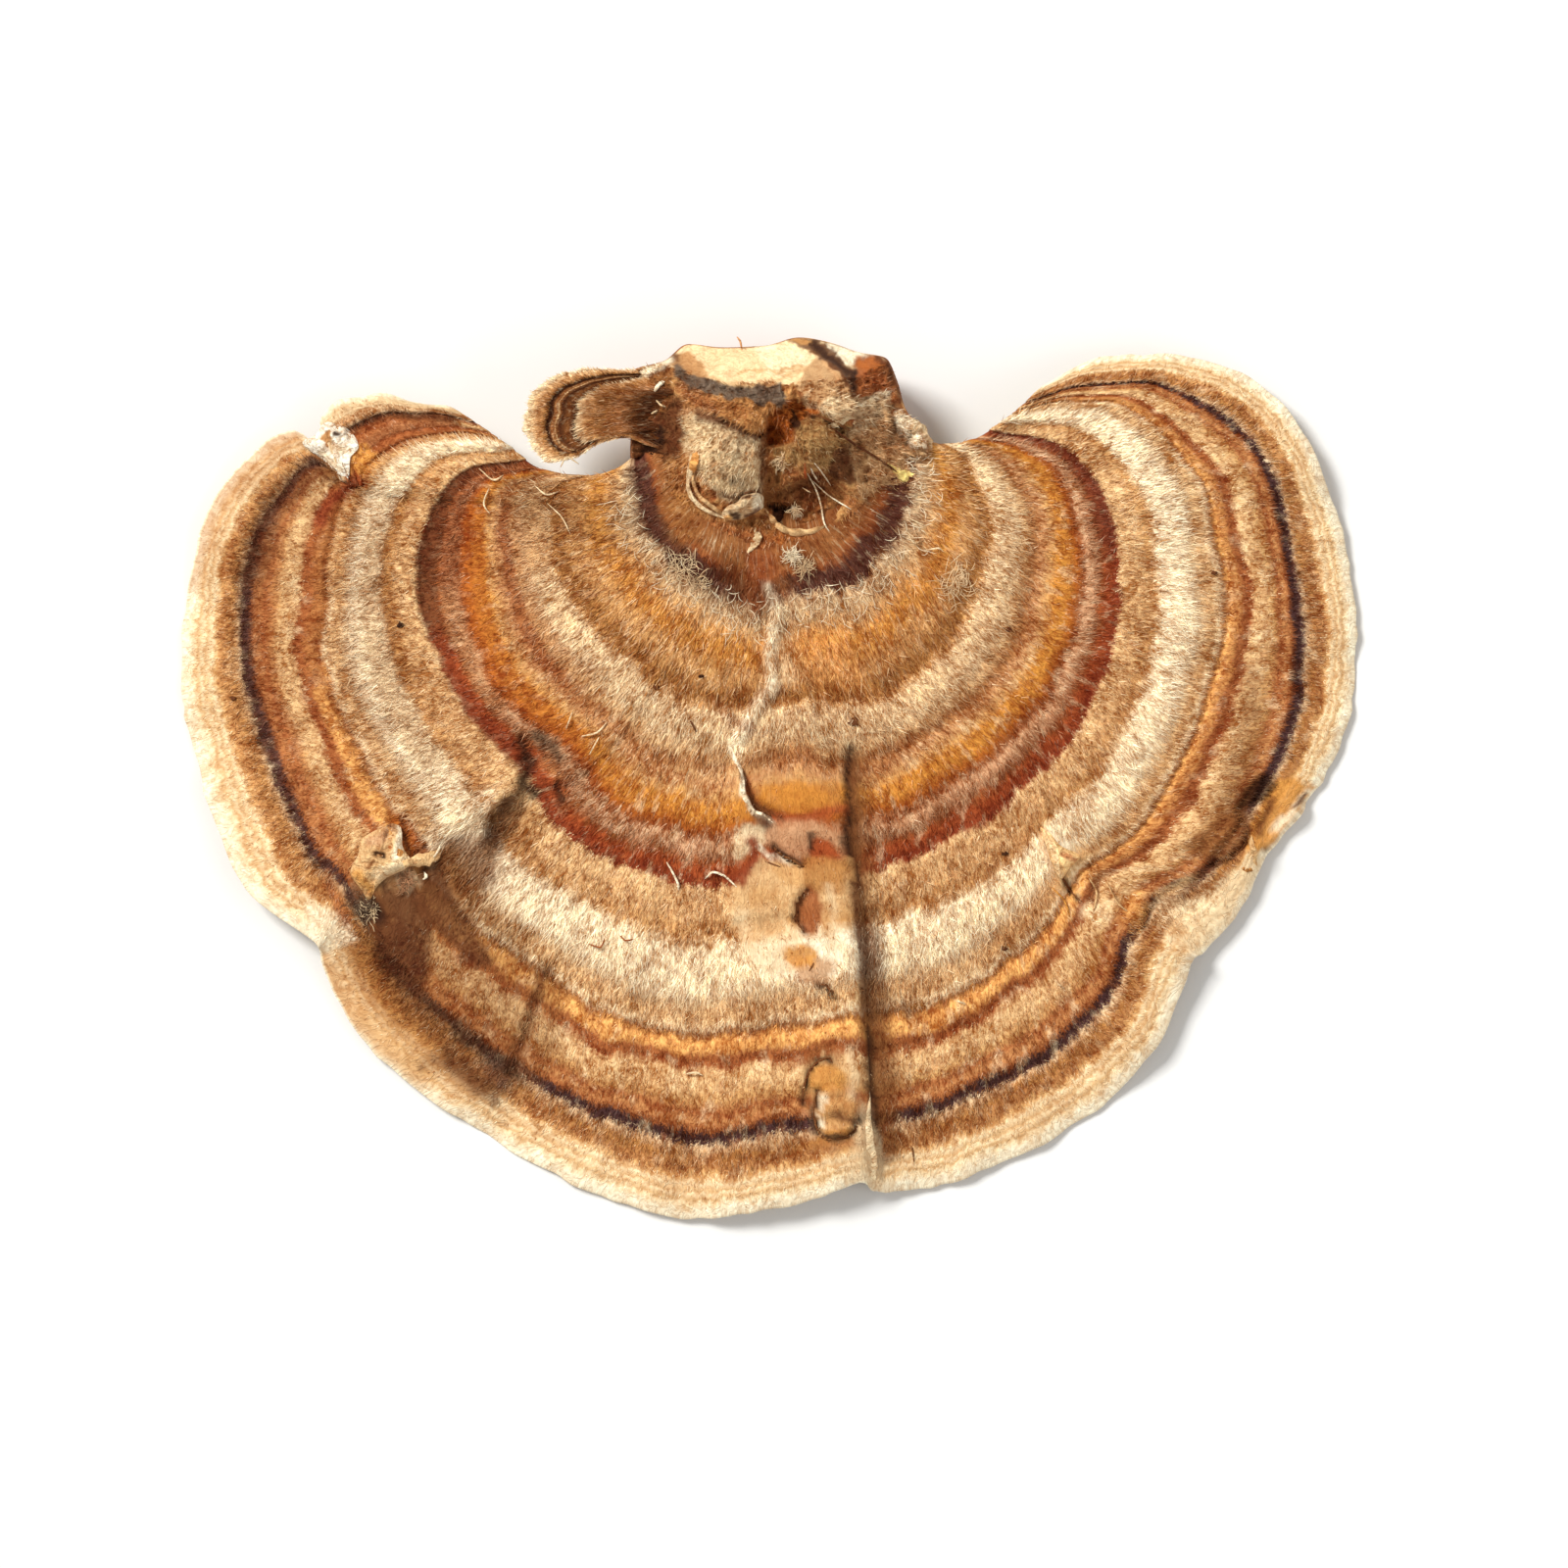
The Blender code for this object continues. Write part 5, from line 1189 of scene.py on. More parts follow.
STUMP_LUMPS = (
    (-2.6, 19.4, 2.1, 2.4, 1.1),
    (2.9, 20.1, 1.7, 2.0, 1.0),
    (5.6, 19.0, 1.6, 2.0, -0.6),
)
CUT_TILT = math.radians(58)
CUT_POINT = (0.0, 23.3, 9.6)
CUT_RELIEF = 0.14
CUT_ROUGHNESS = 0.4
STUMP_STRAY = 0.2
FOOT_SHARE = 0.72
STUMP_SUNK = 0.2
STUMP_HAIRS = 8200
STUMP_HAIR_LENGTH = 0.42

GOLDEN_BROWN = linear(186, 126, 70)
DUN = linear(224, 192, 146)
MOSS = linear(168, 126, 76)
FAWN = linear(198, 152, 104)
BLEACHED = linear(255, 232, 186)
CHAR = linear(104, 84, 68)
CUT_FLESH = linear(246, 210, 158)
# Marks of the stump, drawn as on the cap
STUMP_MARKS = (
    # Without a colour of their own: hollows, crests and furrows
    ((22, 215, 43, 207), 0.16, None, 0.0, -0.4),
    ((40, 233, 49, 229), 0.12, None, 0.0, 0.3),
    ((69, 223, 71, 209, 81, 200, 94, 195), 0.25, None, 0.0, 0.3),
    ([-78, 224, -63, 226, -49, 216, -53, 201, -61, 190, -73, 190], 0.8, None, 0.0, -0.5),
    ([-4, 207, 4, 209, 10, 201, 5, 187, 4, 163, -2, 165], 0.3, None, 0.0, -0.8),
    # Golden brown flesh round the foot
    ([-73, 167, -70, 194, -49, 194, -46, 167, -29, 153, -5, 153, 5, 146, 36, 146, 53, 156, 56, 180, 70, 180,
      80, 167, 63, 139, 29, 122, -22, 122, -56, 146], 0.5, GOLDEN_BROWN, 0.8),
    ((-56, 162, -50, 148), 0.9, GOLDEN, 0.5),
    ((36, 146, 50, 154), 0.8, TAN, 0.6),
    ((6, 146, 18, 142), 0.5, DEEP_AMBER, 0.6),
    ((-24, 148, -6, 144, 2, 138), 0.6, COCOA, 0.7),
    ((-15, 142, -9, 134), 0.3, UMBER, 0.7),
    ((-34, 154, -26, 142), 0.3, CHESTNUT, 0.6),
    ((46, 166, 54, 158, 62, 164), 0.4, CHESTNUT, 0.6),
    ((24, 149, 32, 143), 0.3, HONEY, 0.6),
    # The shaded hollow between the stump and the side bracket
    ([-78, 224, -63, 229, -49, 219, -49, 204, -56, 194, -68, 190, -78, 195], 0.4, UMBER, 0.9),
    ([-76, 211, -64, 207, -63, 199, -73, 194], 0.25, SHADE, 0.98),
    # The pale furry lump at the left, with painted grey shade on its side towards the split and painted dark
    # shade along its foot, and its dark spots
    ([-49, 218, -39, 218, -5, 204, -3, 180, -8, 167, -22, 166, -32, 173, -49, 201], 0.25, DUN, 0.92),
    ([-27, 209, -5, 202, -4, 173, -13, 167, -24, 175], 0.35, ASH, 0.3),
    ((-22, 180, -17, 175), 0.2, SOOT, 0.5),
    ((-25, 169, -13, 168, -5, 172), 0.3, UMBER, 0.85),
    # The split between the lumps, brown and darker down its middle as painted shade, with a pale curl in it
    ([-4, 207, 4, 209, 12, 201, 6, 187, 5, 163, -2, 165], 0.22, FOX, 0.85),
    ((4, 202, 7, 195, 5, 187), 0.3, UMBER, 0.7),
    # The mossy lump at the right, the brown velvet and the dry hollow below it with a hole painted dark as
    # shade, and painted shadow at the lump's right
    ([12, 211, 22, 218, 38, 215, 48, 206, 46, 194, 34, 186, 19, 190, 5, 187, 4, 195], 0.25, MOSS, 0.92),
    ([0, 184, 21, 189, 26, 173, 12, 167, 0, 167], 0.3, FOX, 0.4),
    ([9, 170, 26, 180, 38, 180, 43, 167, 32, 152, 12, 152], 0.35, FOX, 0.75, -0.7),
    ([9, 170, 26, 180, 31, 173, 22, 163, 12, 158], 0.25, UMBER, 0.5),
    ([3, 164, 12, 162, 14, 154, 5, 154], 0.15, SHADE, 0.95, -0.6),
    ((13.7, 163.1, 17.1, 158), 0.13, CREAM, 0.8),
    ([43, 197, 52, 195, 55, 177, 46, 178, 38, 185], 0.25, UMBER, 0.95),
    # The tan overhang below the cut and its shadow
    ([-49, 235, -32, 224, -34, 218, -49, 219], 0.25, HAZEL, 0.7),
    ((-41, 217, -5, 204), 0.36, UMBER, 0.95),
    ([-33, 226, 9, 225, 14, 220, 0, 213, -5, 207, -13, 208, -29, 217], 0.14, GOLDEN_BROWN, 0.92, 0.45),
    # The dark gap behind the right lump: amber, with painted shade deepest in it
    ([0, 216, 15, 224, 27, 221, 14, 212, 12, 201, 2, 201], 0.25, DEEP_AMBER, 0.9, -0.9),
    ((14, 220, 16, 210), 0.2, SHADE, 0.95),
    ((22, 219, 26, 216), 0.2, UMBER, 0.8),
    # The cut: orange corner, dark spots, faint line, whitest part, and its furry grey lip
    ([-59, 250, -49, 252, -39, 245, -36, 239, -49, 239], 0.2, GOLDEN_BROWN, 0.85),
    ((-63, 248, -56, 252), 0.4, UMBER, 0.95),
    ([-5, 257, 21, 260, 22, 248, 2, 243], 0.3, BLEACHED, 0.9),
    ((-17, 242, -8, 244, 2, 243, 20, 245), 0.12, WARM_TAN, 0.9),
    ([-55, 246, -42, 239, -29, 235, -10, 233, 6, 234, 8, 224, -2, 222, -13, 227, -32, 228, -46, 233, -54,
      240], 0.12, CHAR, 0.95, 0.3),
    ((-39, 243, -29, 237, -10, 234, 5, 237, 24, 245), 0.15, HONEY, 0.7),
    # The pale flap behind the right lump, its folded end and the crack below it
    ([21, 241, 29, 250, 38, 247, 46, 237, 50, 226, 49, 221, 41, 215, 22, 226, 19, 231], 0.16, FAWN, 0.95,
      0.55),
    ([32, 222, 42, 228, 50, 226, 49, 220, 40, 216], 0.15, BISCUIT, 0.85),
    ((22, 226, 41, 215, 49, 221), 0.13, ASH, 0.6),
    ((26, 217, 49, 207), 0.12, SHADE, 0.95),
    ((49, 207, 48, 204), 0.38, SHADE, 0.98),
    ((51, 204, 63, 198, 75, 189), 0.1, UMBER, 0.8),
    # The dark crust round the flap, the cream strip behind it and the rusty block at its right
    ([9, 263, 22, 263, 34, 259, 44, 250, 56, 235, 53, 228, 49, 229, 46, 236, 29, 255], 0.15, UMBER, 0.92,
      0.4),
    ((27, 260, 48, 242, 51, 233), 0.25, SHADE, 0.95),
    ((13, 262, 24, 261), 0.2, ORANGE, 0.6),
    ([37, 258, 64, 254, 50, 248, 43, 252], 0.12, CREAM, 0.95),
    ([53, 248, 65, 253, 71, 246, 75, 235, 71, 227, 56, 226, 53, 236], 0.2, CHESTNUT, 0.95, -0.35),
    ((55, 246, 65, 249), 0.4, DEEP_AMBER, 0.7),
    ((67, 253, 80, 228, 76, 222), 0.3, UMBER, 0.9),
    # The thin membrane and the tan fur at the right, with painted brown shade along its left side and the
    # white wedge at its edge
    ([50, 207, 56, 207, 72, 219, 73, 209, 83, 199, 97, 194, 94, 180, 77, 167, 56, 170], 0.35, FAWN, 0.85),
    ((54, 201, 57, 180), 0.45, FOX, 0.6),
    ([51, 224, 70, 232, 72, 224, 55, 207, 50, 209], 0.15, ASH, 0.9),
    ((52, 221, 71, 232), 0.13, CREAM, 0.9),
    ([78, 219, 85, 213, 93, 200, 89, 198, 80, 206, 75, 213], 0.14, CREAM, 0.9, 0.2),
    ((72, 224, 73, 210, 83, 201, 97, 195), 0.22, UMBER, 0.6),
    # The neck towards the side bracket, with its pale torn bits
    ([-85, 241, -63, 247, -59, 240, -62, 224, -73, 218, -85, 226], 0.3, FOX, 0.85),
    ((-78, 235, -73, 219), 0.35, UMBER, 0.8),
    ((-78, 240, -59, 249), 0.25, CREAM, 0.95),
)


def closed_curve(points, count):
    """Evenly spread points on a smooth closed curve through the drawn ones."""
    line = drawn(points)
    line = np.concatenate([line, line[:3]])
    stations = np.concatenate([[0.0], np.cumsum(np.linalg.norm(np.diff(line, axis=0), axis=1))])
    wanted = stations[1] + (stations[-2] - stations[1]) * np.arange(count) / count
    return smooth_between(stations, line, wanted)


def closed_tube(rings, first_number=0):
    """Points and faces of a tube through rings, with both ends closed by a point."""
    count, sides = rings.shape[:2]
    number = first_number + np.arange(count * sides).reshape(count, sides)
    number = np.column_stack([number, number[:, 0]])
    tip = first_number + count * sides
    faces = quad_grid(number)
    faces += [(tip, number[0, side + 1], number[0, side]) for side in range(sides)]
    faces += [(tip + 1, number[-1, side], number[-1, side + 1]) for side in range(sides)]
    return np.concatenate([rings.reshape(-1, 3), rings[[0, -1]].mean(axis=1)]), faces


def stump_surface(x, y, share, ground):
    """Height of the stump's top, which runs into the cap at its foot, and whether the cut meets it."""
    back = soft_step(*STUMP_FRONT_SLOPE, y)
    middle = 1 - soft_step(*STUMP_SIDE_SLOPE, np.abs(x - STUMP_MIDDLE[0]))
    height = STUMP_SHOULDER + (STUMP_TOP - STUMP_SHOULDER) * back * middle
    height = height + lumps(STUMP_LUMPS, x, y)
    height += 0.3 * wander(x * 0.9 + 40, y * 0.9, 31) - 0.4 * np.abs(wander(x * 1.9 + 40, y * 1.9, 32))
    height += 0.16 * wander(x * 5 + 60, y * 5, 33) + 0.05 * wander(x * 9 + 60, y * 9, 36)
    height += (ground - STUMP_SUNK - height) * np.where(ground > 0, soft_step(FOOT_SHARE, 1.0, share), 0.0)
    cut = CUT_POINT[2] - (y - CUT_POINT[1]) * math.tan(CUT_TILT)
    cut += CUT_RELIEF * wander(x * 1.2 + 40, y * 1.2, 34) + 0.5 * CUT_RELIEF * wander(x * 4 + 60, y * 2, 35)
    return np.minimum(height, cut) + torn_relief(x, y, STUMP_MARKS, ()), cut < height


def ground_levels(spots, trees):
    """Height of the highest flesh at each place, in millimetres, or zero beside it."""
    levels = []
    for x, y in np.asarray(spots).reshape(-1, 2) * MM:
        hits = [tree.ray_cast((x, y, 0.05), (0.0, 0.0, -1.0))[0] for tree in trees]
        levels.append(max((hit.z / MM for hit in hits if hit is not None), default=0.0))
    return np.array(levels).reshape(np.shape(spots)[:-1])


fan_ground = BVHTree.FromObject(fan, bpy.context.evaluated_depsgraph_get())
stump_outline = closed_curve(STUMP_OUTLINE, STUMP_SIDES)
ring_share = np.arange(1, STUMP_RINGS + 1) / STUMP_RINGS
stump_places = STUMP_MIDDLE + (stump_outline - STUMP_MIDDLE)[None] * ring_share[:, None, None]
in_front = stump_outline[:, 1] < CUT_POINT[1] - 4.0
foot_ground = np.where(in_front, ground_levels(stump_outline, [fan_ground]), 0.0)
stump_levels, stump_cut = stump_surface(stump_places[..., 0], stump_places[..., 1],
                                        ring_share[:, None], foot_ground[None])
wall_levels = np.array([level for level, _ in STUMP_WALL])[:, None]
wall_places = [STUMP_MIDDLE + (stump_outline - STUMP_MIDDLE) * width for _, width in STUMP_WALL]
stump_rings = np.concatenate([np.dstack([stump_places, stump_levels]),
                              np.dstack([wall_places, stump_levels[-1] * wall_levels])])
stump_vertices, stump_faces = closed_tube(stump_rings)
stump = closed_object("torn_stump", stump_vertices, stump_faces)


def torn_flesh(name, roughness=1.0, hair=False):
    """Torn flesh: brown and tan fibres, with painted shade in its creases and painted highlights on its
    fibres, and the stains and painted shade of the piece laid over them.
    """
    material = plain_material(name, TAN, 0.85)
    tree = material.node_tree
    broad = noise(tree, 600.0, 4.0, 0.8)
    fine = noise(tree, 1900.0, 3.0, 1.4)
    grain = noise(tree, 6000.0, 2.0)
    shaded_creases = strands(noise(tree, 700.0, 3.0, 2.0), 11.0)
    fibres = strands(noise(tree, 1500.0, 2.0, 3.0), 8.0)
    colour = mixed(tree, over(broad, 0.4, 4.0, 1.0), COCOA, TAN)
    light = swing(fine, 1.7) + swing(broad, 2.0) + swing(grain, 1.0) + shaded_creases * -0.35 + fibres * 0.3
    return finish_skin(material, stained(tree, colour, fine), light * roughness,
                       fine + grain * 0.4 + shaded_creases * -0.4, 0.0002 * roughness, hair)


# The wall keeps ever less of the marks from the top down
wall_fade = np.concatenate([np.ones(stump_levels.size), np.repeat(wall_levels ** 3, STUMP_SIDES), (1.0, 0.0)])
on_cut = np.pad(stump_cut.ravel(), (0, len(wall_fade) - stump_cut.size))
stump_stain = drawn_stains(stump_vertices[:, 0], stump_vertices[:, 1], STUMP_MARKS,
                           np.where(on_cut[:, None], (*CUT_FLESH, 1.0), 0.0), STUMP_STRAY)
stump_stain *= wall_fade[:, None]
point_values(stump, stain=stump_stain)
two_skins(stump, (torn_flesh("torn_flesh"), torn_flesh("flat_cut", CUT_ROUGHNESS)), on_cut)
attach(stump, "root")
stump_ground = BVHTree.FromObject(stump, bpy.context.evaluated_depsgraph_get())

# The stump's own fur, which lies away from its back
away = stump_places - np.add(STUMP_MIDDLE, (0.0, 2.5))
away /= np.linalg.norm(away, axis=2)[..., None] + 1e-9
top_stain = stump_stain[:stump_cut.size].reshape(*stump_cut.shape, 4)
lightness = np.clip(2.2 * top_stain[..., 0], 0.15, 1.0)
patchy = 0.55 + 0.45 * wander(stump_places[..., 0] + 70, stump_places[..., 1], 43)
stump_hair = {
    "hairiness": np.where(stump_cut, 0.0, patchy) * lightness,
    "hair_length": STUMP_HAIR_LENGTH * MM * (0.5 + 0.5 * lightness),
    "lie": np.dstack([away, np.full(lightness.shape, 0.25)]),
    "stain": top_stain}
hair_coat("stump_fur", stump_places, stump_levels, stump_hair, STUMP_HAIRS, 0.7, 61,
          torn_flesh("stump_fur", hair=True))

# The small hooked bracket that grew from the stump's left side, with zones of its own: a fuzzy tan
# fan round its root, a silky dark band, a furry tan ring and a pale margin.
SIDE_LINES = (
    (6.6, (-54, 230, -70, 238, -75, 241, -79, 244)),
    (6.9, (-56, 229, -86, 234, -95, 239, -103, 245)),
    (6.9, (-59, 226, -95, 231, -110, 236, -122, 242)),
    (6.7, (-61, 223, -100, 227, -119, 230, -137, 234)),
    (6.4, (-62, 220, -104, 222, -125, 221, -144, 221)),
    (6.2, (-63, 217, -106, 216, -127, 211, -146, 209)),
    (6.1, (-64, 213, -105, 209, -125, 201, -140, 198)),
    (6.2, (-64, 209, -101, 205, -117, 196, -130, 189)),
    (6.3, (-63, 205, -96, 204, -109, 198, -117, 191)),
    (6.4, (-62, 201, -85, 205, -94, 205, -101, 200)),
    (6.5, (-59, 195, -76, 201, -81, 204, -84, 205)),
)
SIDE_GROWTH = (0.0, 0.4, 0.7, 1.0)
SIDE_RELIEF = (
    (0.0, 0.0), (0.25, 0.15), (0.42, 0.25), (0.5, 0.1), (0.54, -0.12), (0.64, -0.1), (0.68, 0.06),
    (0.74, -0.12), (0.8, 0.08), (0.88, 0.06), (0.92, -0.02), (0.96, 0.05), (1.0, -0.1),
)
SIDE_THICKNESS = ((0.0, 1.8), (0.5, 1.2), (0.9, 0.9), (1.0, 0.4))
SIDE_COLUMNS = 160
SIDE_ROWS = 60
SIDE_HAIRS = 8800
SIDE_SUNK = 0.3
SIDE_ZONES = (
    (0.0, FOX), (0.1, UMBER), (0.16, FOX), (0.23, HAZEL), (0.33, BROWN), (0.42, TAN), (0.48, BISCUIT),
    (0.512, BISCUIT), (0.522, SHADE), (0.55, UMBER), (0.6, FOX), (0.66, UMBER), (0.69, FOX), (0.7, HONEY),
    (0.712, FOX), (0.735, HAZEL), (0.755, UMBER), (0.785, SHADE), (0.8, BROWN), (0.83, TAN),
    (0.88, WARM_TAN), (0.93, PALE), (1.0, CREAM),
)
SIDE_HAIRINESS = (
    (0.0, 0.3), (0.1, 0.6), (0.42, 1.0), (0.49, 0.9), (0.52, 0.05), (0.74, 0.05), (0.78, 0.8), (0.9, 0.9),
    (0.97, 0.4), (1.0, 0.1),
)

side_points = drawn([line for _, line in SIDE_LINES]).reshape(len(SIDE_LINES), -1, 2)
side_columns = np.linspace(0.0, 1.0, SIDE_COLUMNS)
side_rows = np.linspace(0.0, 1.0, SIDE_ROWS)
outer = side_rows[:, None]
on_side_rings = evenly(side_points, side_columns)
side_places = smooth_between(SIDE_GROWTH, on_side_rings.transpose(1, 0, 2), side_rows)
ragged = 0.12 * wander(side_columns * 30, side_columns * 0, 51) * soft_step(0.85, 1.0, outer)
side_outward = np.gradient(side_places, axis=0)
side_outward /= np.linalg.norm(side_outward, axis=2)[..., None] + 1e-9
side_places = side_places + side_outward * ragged[..., None]
side_heights = evenly([level for level, _ in SIDE_LINES], side_columns)
side_root = ground_levels(side_places[0], [stump_ground]) - SIDE_SUNK
side_base = side_root + (side_heights - side_root) * soft_step(0.0, 0.4, outer)
side_strayed = np.clip(outer + 0.02 * wander(side_columns * 14, outer * 4, 52), 0.0, 1.0)
side_top = side_base + profile(SIDE_RELIEF, side_strayed) + 0.06 * wander(side_columns * 40, outer * 3, 53)
side_under = side_base - profile(SIDE_THICKNESS, outer) * (0.5 + 0.5 * np.sin(math.pi * side_columns))
side_grids = np.concatenate([np.dstack([side_places, side_top]), np.dstack([side_places, side_under])[::-1]])
side_index = np.arange(2 * SIDE_ROWS * SIDE_COLUMNS).reshape(2 * SIDE_ROWS, SIDE_COLUMNS)
side_faces = quad_grid(np.vstack([side_index, side_index[:1]]))
for rim in (side_index[:, 0], side_index[:, -1]):
    side_faces += quad_grid(np.column_stack([rim[:SIDE_ROWS], rim[:SIDE_ROWS - 1:-1]]))
side = closed_object("side_bracket", side_grids.reshape(-1, 3), side_faces)
side_growth = np.concatenate([side_strayed, side_strayed[::-1]])
side_around = np.tile(side_columns * 0.25, (2 * SIDE_ROWS, 1))
point_values(side, growth=side_growth, around=side_around, stain=np.zeros((side_index.size, 4)))
two_skins(side, (zoned_flesh("side_zones", SIDE_ZONES), pores),
          np.arange(side_index.size) >= SIDE_ROWS * SIDE_COLUMNS)
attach(side, "root")

side_hair = {
    "growth": side_strayed + ROOT_SHIFT,
    "around": side_around[:SIDE_ROWS],
    "hairiness": profile(SIDE_HAIRINESS, side_strayed),
    "hair_length": (0.55 - 0.3 * side_strayed) * MM,
    "lie": outward_lie(side_places, side_top, 0.2),
    "stain": np.zeros((*side_top.shape, 4))}
hair_coat("side_velvet", side_places, side_top, side_hair, SIDE_HAIRS, 0.25, 71,
          zoned_flesh("side_hair", SIDE_ZONES, hair=True))

# Scraps of skin that were torn up but still hold at one end or one edge: at both notches, along
# the tear and the fold, near the margin and round the stump. Each is thin, dry and curled.
SCRAP_THICKNESS = 0.16
SCRAP_STATIONS = 40
SCRAP_ROUND = 16
SCRAP_SUNK = 0.1
PALE_YELLOW = linear(246, 214, 128)
# Route of each narrow scrap, its widths, how high its middle stands, how it leans to its left, colour
SCRAPS = (
    # The arm of torn skin over the left notch, and the curl below it
    ((-223, -53, -215, -49.5, -208, -48, -201, -46, -195, -41), (0.9, 0.55, 0.75, 0.85, 0.2), 0.6, 0.35,
      HONEY),
    ((-207, -60, -205, -57.5, -206, -55), (0.12, 0.2, 0.1), 0.2, 0.2, CREAM),
    # The lip of the tear
    ((-24, 24, -20, 13, -16, 1, -15, -8, -12, -14, -9, -19, -4, -21, 3, -26), (0.5, 0.4, 0.28, 0.25, 0.25,
      0.3, 0.35, 0.2), 0.3, -0.2, CREAM),
    # The thin skin at the foot of the fold
    ((60, -186, 59, -206, 61, -226, 63, -242), (0.25, 0.5, 0.8, 0.4), 0.12, -0.5, PALE),
    # Beside the stump: membrane, curled scrap, yellow tip and pale wedge
    ((49, 212, 57, 221, 65, 227, 71, 231), (0.9, 0.7, 0.5, 0.2), 0.12, 0.5, BISCUIT),
    ((34, 209, 40, 212, 46, 215, 49, 220), (0.3, 0.6, 0.7, 0.3), 0.15, 0.3, DUN),
    ((69, 189, 76, 184, 82, 180.5, 87, 182), (0.2, 0.45, 0.8, 0.25), 0.2, 0.3, PALE_YELLOW),
    ((82, 216, 89, 209, 94, 201, 97, 196), (0.3, 0.8, 0.8, 0.3), 0.2, -0.4, BISCUIT),
    # The membrane of the right notch's folded margin
    ((288, -31, 290, -43, 292, -53), (0.15, 0.4, 0.3), 0.15, 0.2, WARM_TAN),
    ((282, -52, 287, -54, 292, -54), (0.1, 0.25, 0.1), 0.1, 0.0, BROWN),
    # The pointed flap below the husks
    ((-9, 150, -7, 145, -9, 140, -13, 135), (0.5, 0.6, 0.45, 0.15), 0.18, 0.5, DUN),
)
# The two broad scraps: outline, middle, how high the middle stands, thickness, dents and bumps,
# stains with painted highlights and shade, and colour
NOTCH_FLAP = (-244, -37, -237, -31, -230, -28, -225, -26, -220, -28, -219, -33, -219, -38, -217, -43, -214,
    -48, -217, -53, -223, -56, -229, -59, -235, -65, -239, -72, -244, -65, -250, -55, -249, -51, -245, -44)
NOTCH_FLAP_LUMPS = (
    (-22.1, -3.4, 0.5, 0.7, 0.45),
    (-22.4, -5.2, 0.9, 0.4, 0.45),
    (-23.2, -4.5, 0.3, 0.16, -0.4),
    (-23.8, -5.0, 0.5, 0.14, -0.2),
    (-24.2, -5.9, 0.5, 0.6, 0.2),
)
# The flap's marks: pink and brown streaks, pale raised crests brightened as painted highlights, golden skin
# at its foot and painted shade in its hole
NOTCH_FLAP_STAINS_AND_PAINTED_LIGHT = (
    ((-226, -29, -233, -37, -239, -38), 0.3, GREY_PINK, 0.8),
    ((-224, -28, -222, -31), 0.2, FOX, 0.7),
    ((-220.5, -29, -220, -38, -223, -46), 0.22, CREAM, 0.95),
    ((-216, -49, -233, -56), 0.35, IVORY, 0.95),
    ((-246, -56, -238, -66), 0.4, GOLDEN, 0.8),
    ((-235, -44.5, -229.5, -44.5), 0.16, SHADE, 0.95),
    ((-235, -49, -241, -52), 0.12, FOX, 0.9),
)
NOTCH_PATCH = (162, -28, 168, -32, 174, -39, 186, -46, 180, -52, 175, -59, 170, -52, 166, -41)
NOTCH_PATCH_LUMPS = ((17.2, -4.2, 0.5, 0.3, -0.12), (17.6, -5.0, 0.3, 0.3, 0.1))
NOTCH_PATCH_STAINS = (
    ((164, -32, 174, -56), 0.3, PALE, 0.7),
    ((176, -44, 182, -47), 0.2, RUST, 0.7),
)
# The white membrane that hangs across the open tear in the left lobe
TEAR_MEMBRANE = (-279, 202, -272, 206, -264, 214, -252, 210, -245, 199, -250, 192, -251, 180, -256, 182,
    -266, 191)
TEAR_MEMBRANE_LUMPS = ((-25.9, 20.6, 0.5, 0.3, 0.3), (-26.3, 19.6, 0.4, 0.6, -0.3))
# The membrane's marks: a brown edge, a dark spot, and tan patches of painted shade where it crumples
TEAR_MEMBRANE_STAINS_AND_SHADE = (
    ([-267, 205, -263, 208, -261, 203, -264, 201], 0.12, BROWN, 0.95),
    ((-259, 207.5, -257, 206), 0.14, SHADE, 0.95),
    ((-260, 200, -254, 196), 0.3, DUN, 0.7),
    ((-269, 196, -256, 185), 0.2, BISCUIT, 0.7),
)
MEMBRANE_WHITE = linear(248, 234, 210)
PORE_TAN = linear(255, 208, 142)
PATCH_SIDES = 96
PATCH_RINGS = 28

grounds = [fan_ground, stump_ground, BVHTree.FromObject(side, bpy.context.evaluated_depsgraph_get())]


def left_of(middle):
    """The direction to the left of a route at each of its places."""
    ahead = np.gradient(middle, axis=0)
    ahead /= np.linalg.norm(ahead, axis=1)[:, None] + 1e-9
    return np.column_stack([-ahead[:, 1], ahead[:, 0]])


def along_route(route, count):
    """Evenly stepped places on a smooth route, and how far along it each lies."""
    along = np.linspace(0.0, 1.0, count)
    return along, evenly(drawn(route), along)


def ribbon_rings(route, widths, rise, lean, thickness, seed):
    """Rings of points round a thin curled strip that follows the ground along its route."""
    along, middle = along_route(route, SCRAP_STATIONS)
    width = evenly(widths, along) * np.sin(math.pi * np.clip(along, 0.02, 0.98)) ** 0.3
    turns = 2 * math.pi * np.arange(SCRAP_ROUND) / SCRAP_ROUND
    side_way = np.cos(turns)[None]
    ragged = 1 + 0.3 * wander(along[:, None] * 14 + seed, side_way * 0.6 + 5, seed)
    offset = 0.5 * width[:, None] * side_way * ragged
    spots = middle[:, None] + left_of(middle)[:, None] * offset[..., None]
    floor_level = ground_levels(middle, grounds)
    raised = rise * np.sin(math.pi * along) ** 0.7 - SCRAP_SUNK
    level = (floor_level + raised)[:, None] + lean * offset - 0.35 * offset ** 2
    level += 0.12 * wander(along[:, None] * 9 + seed, side_way + 9, seed + 1)
    thick = thickness * (0.35 + 0.65 * np.sin(math.pi * np.clip(along, 0.04, 0.96)))
    level += 0.5 * thick[:, None] * np.sin(turns)[None]
    return np.dstack([spots, level])


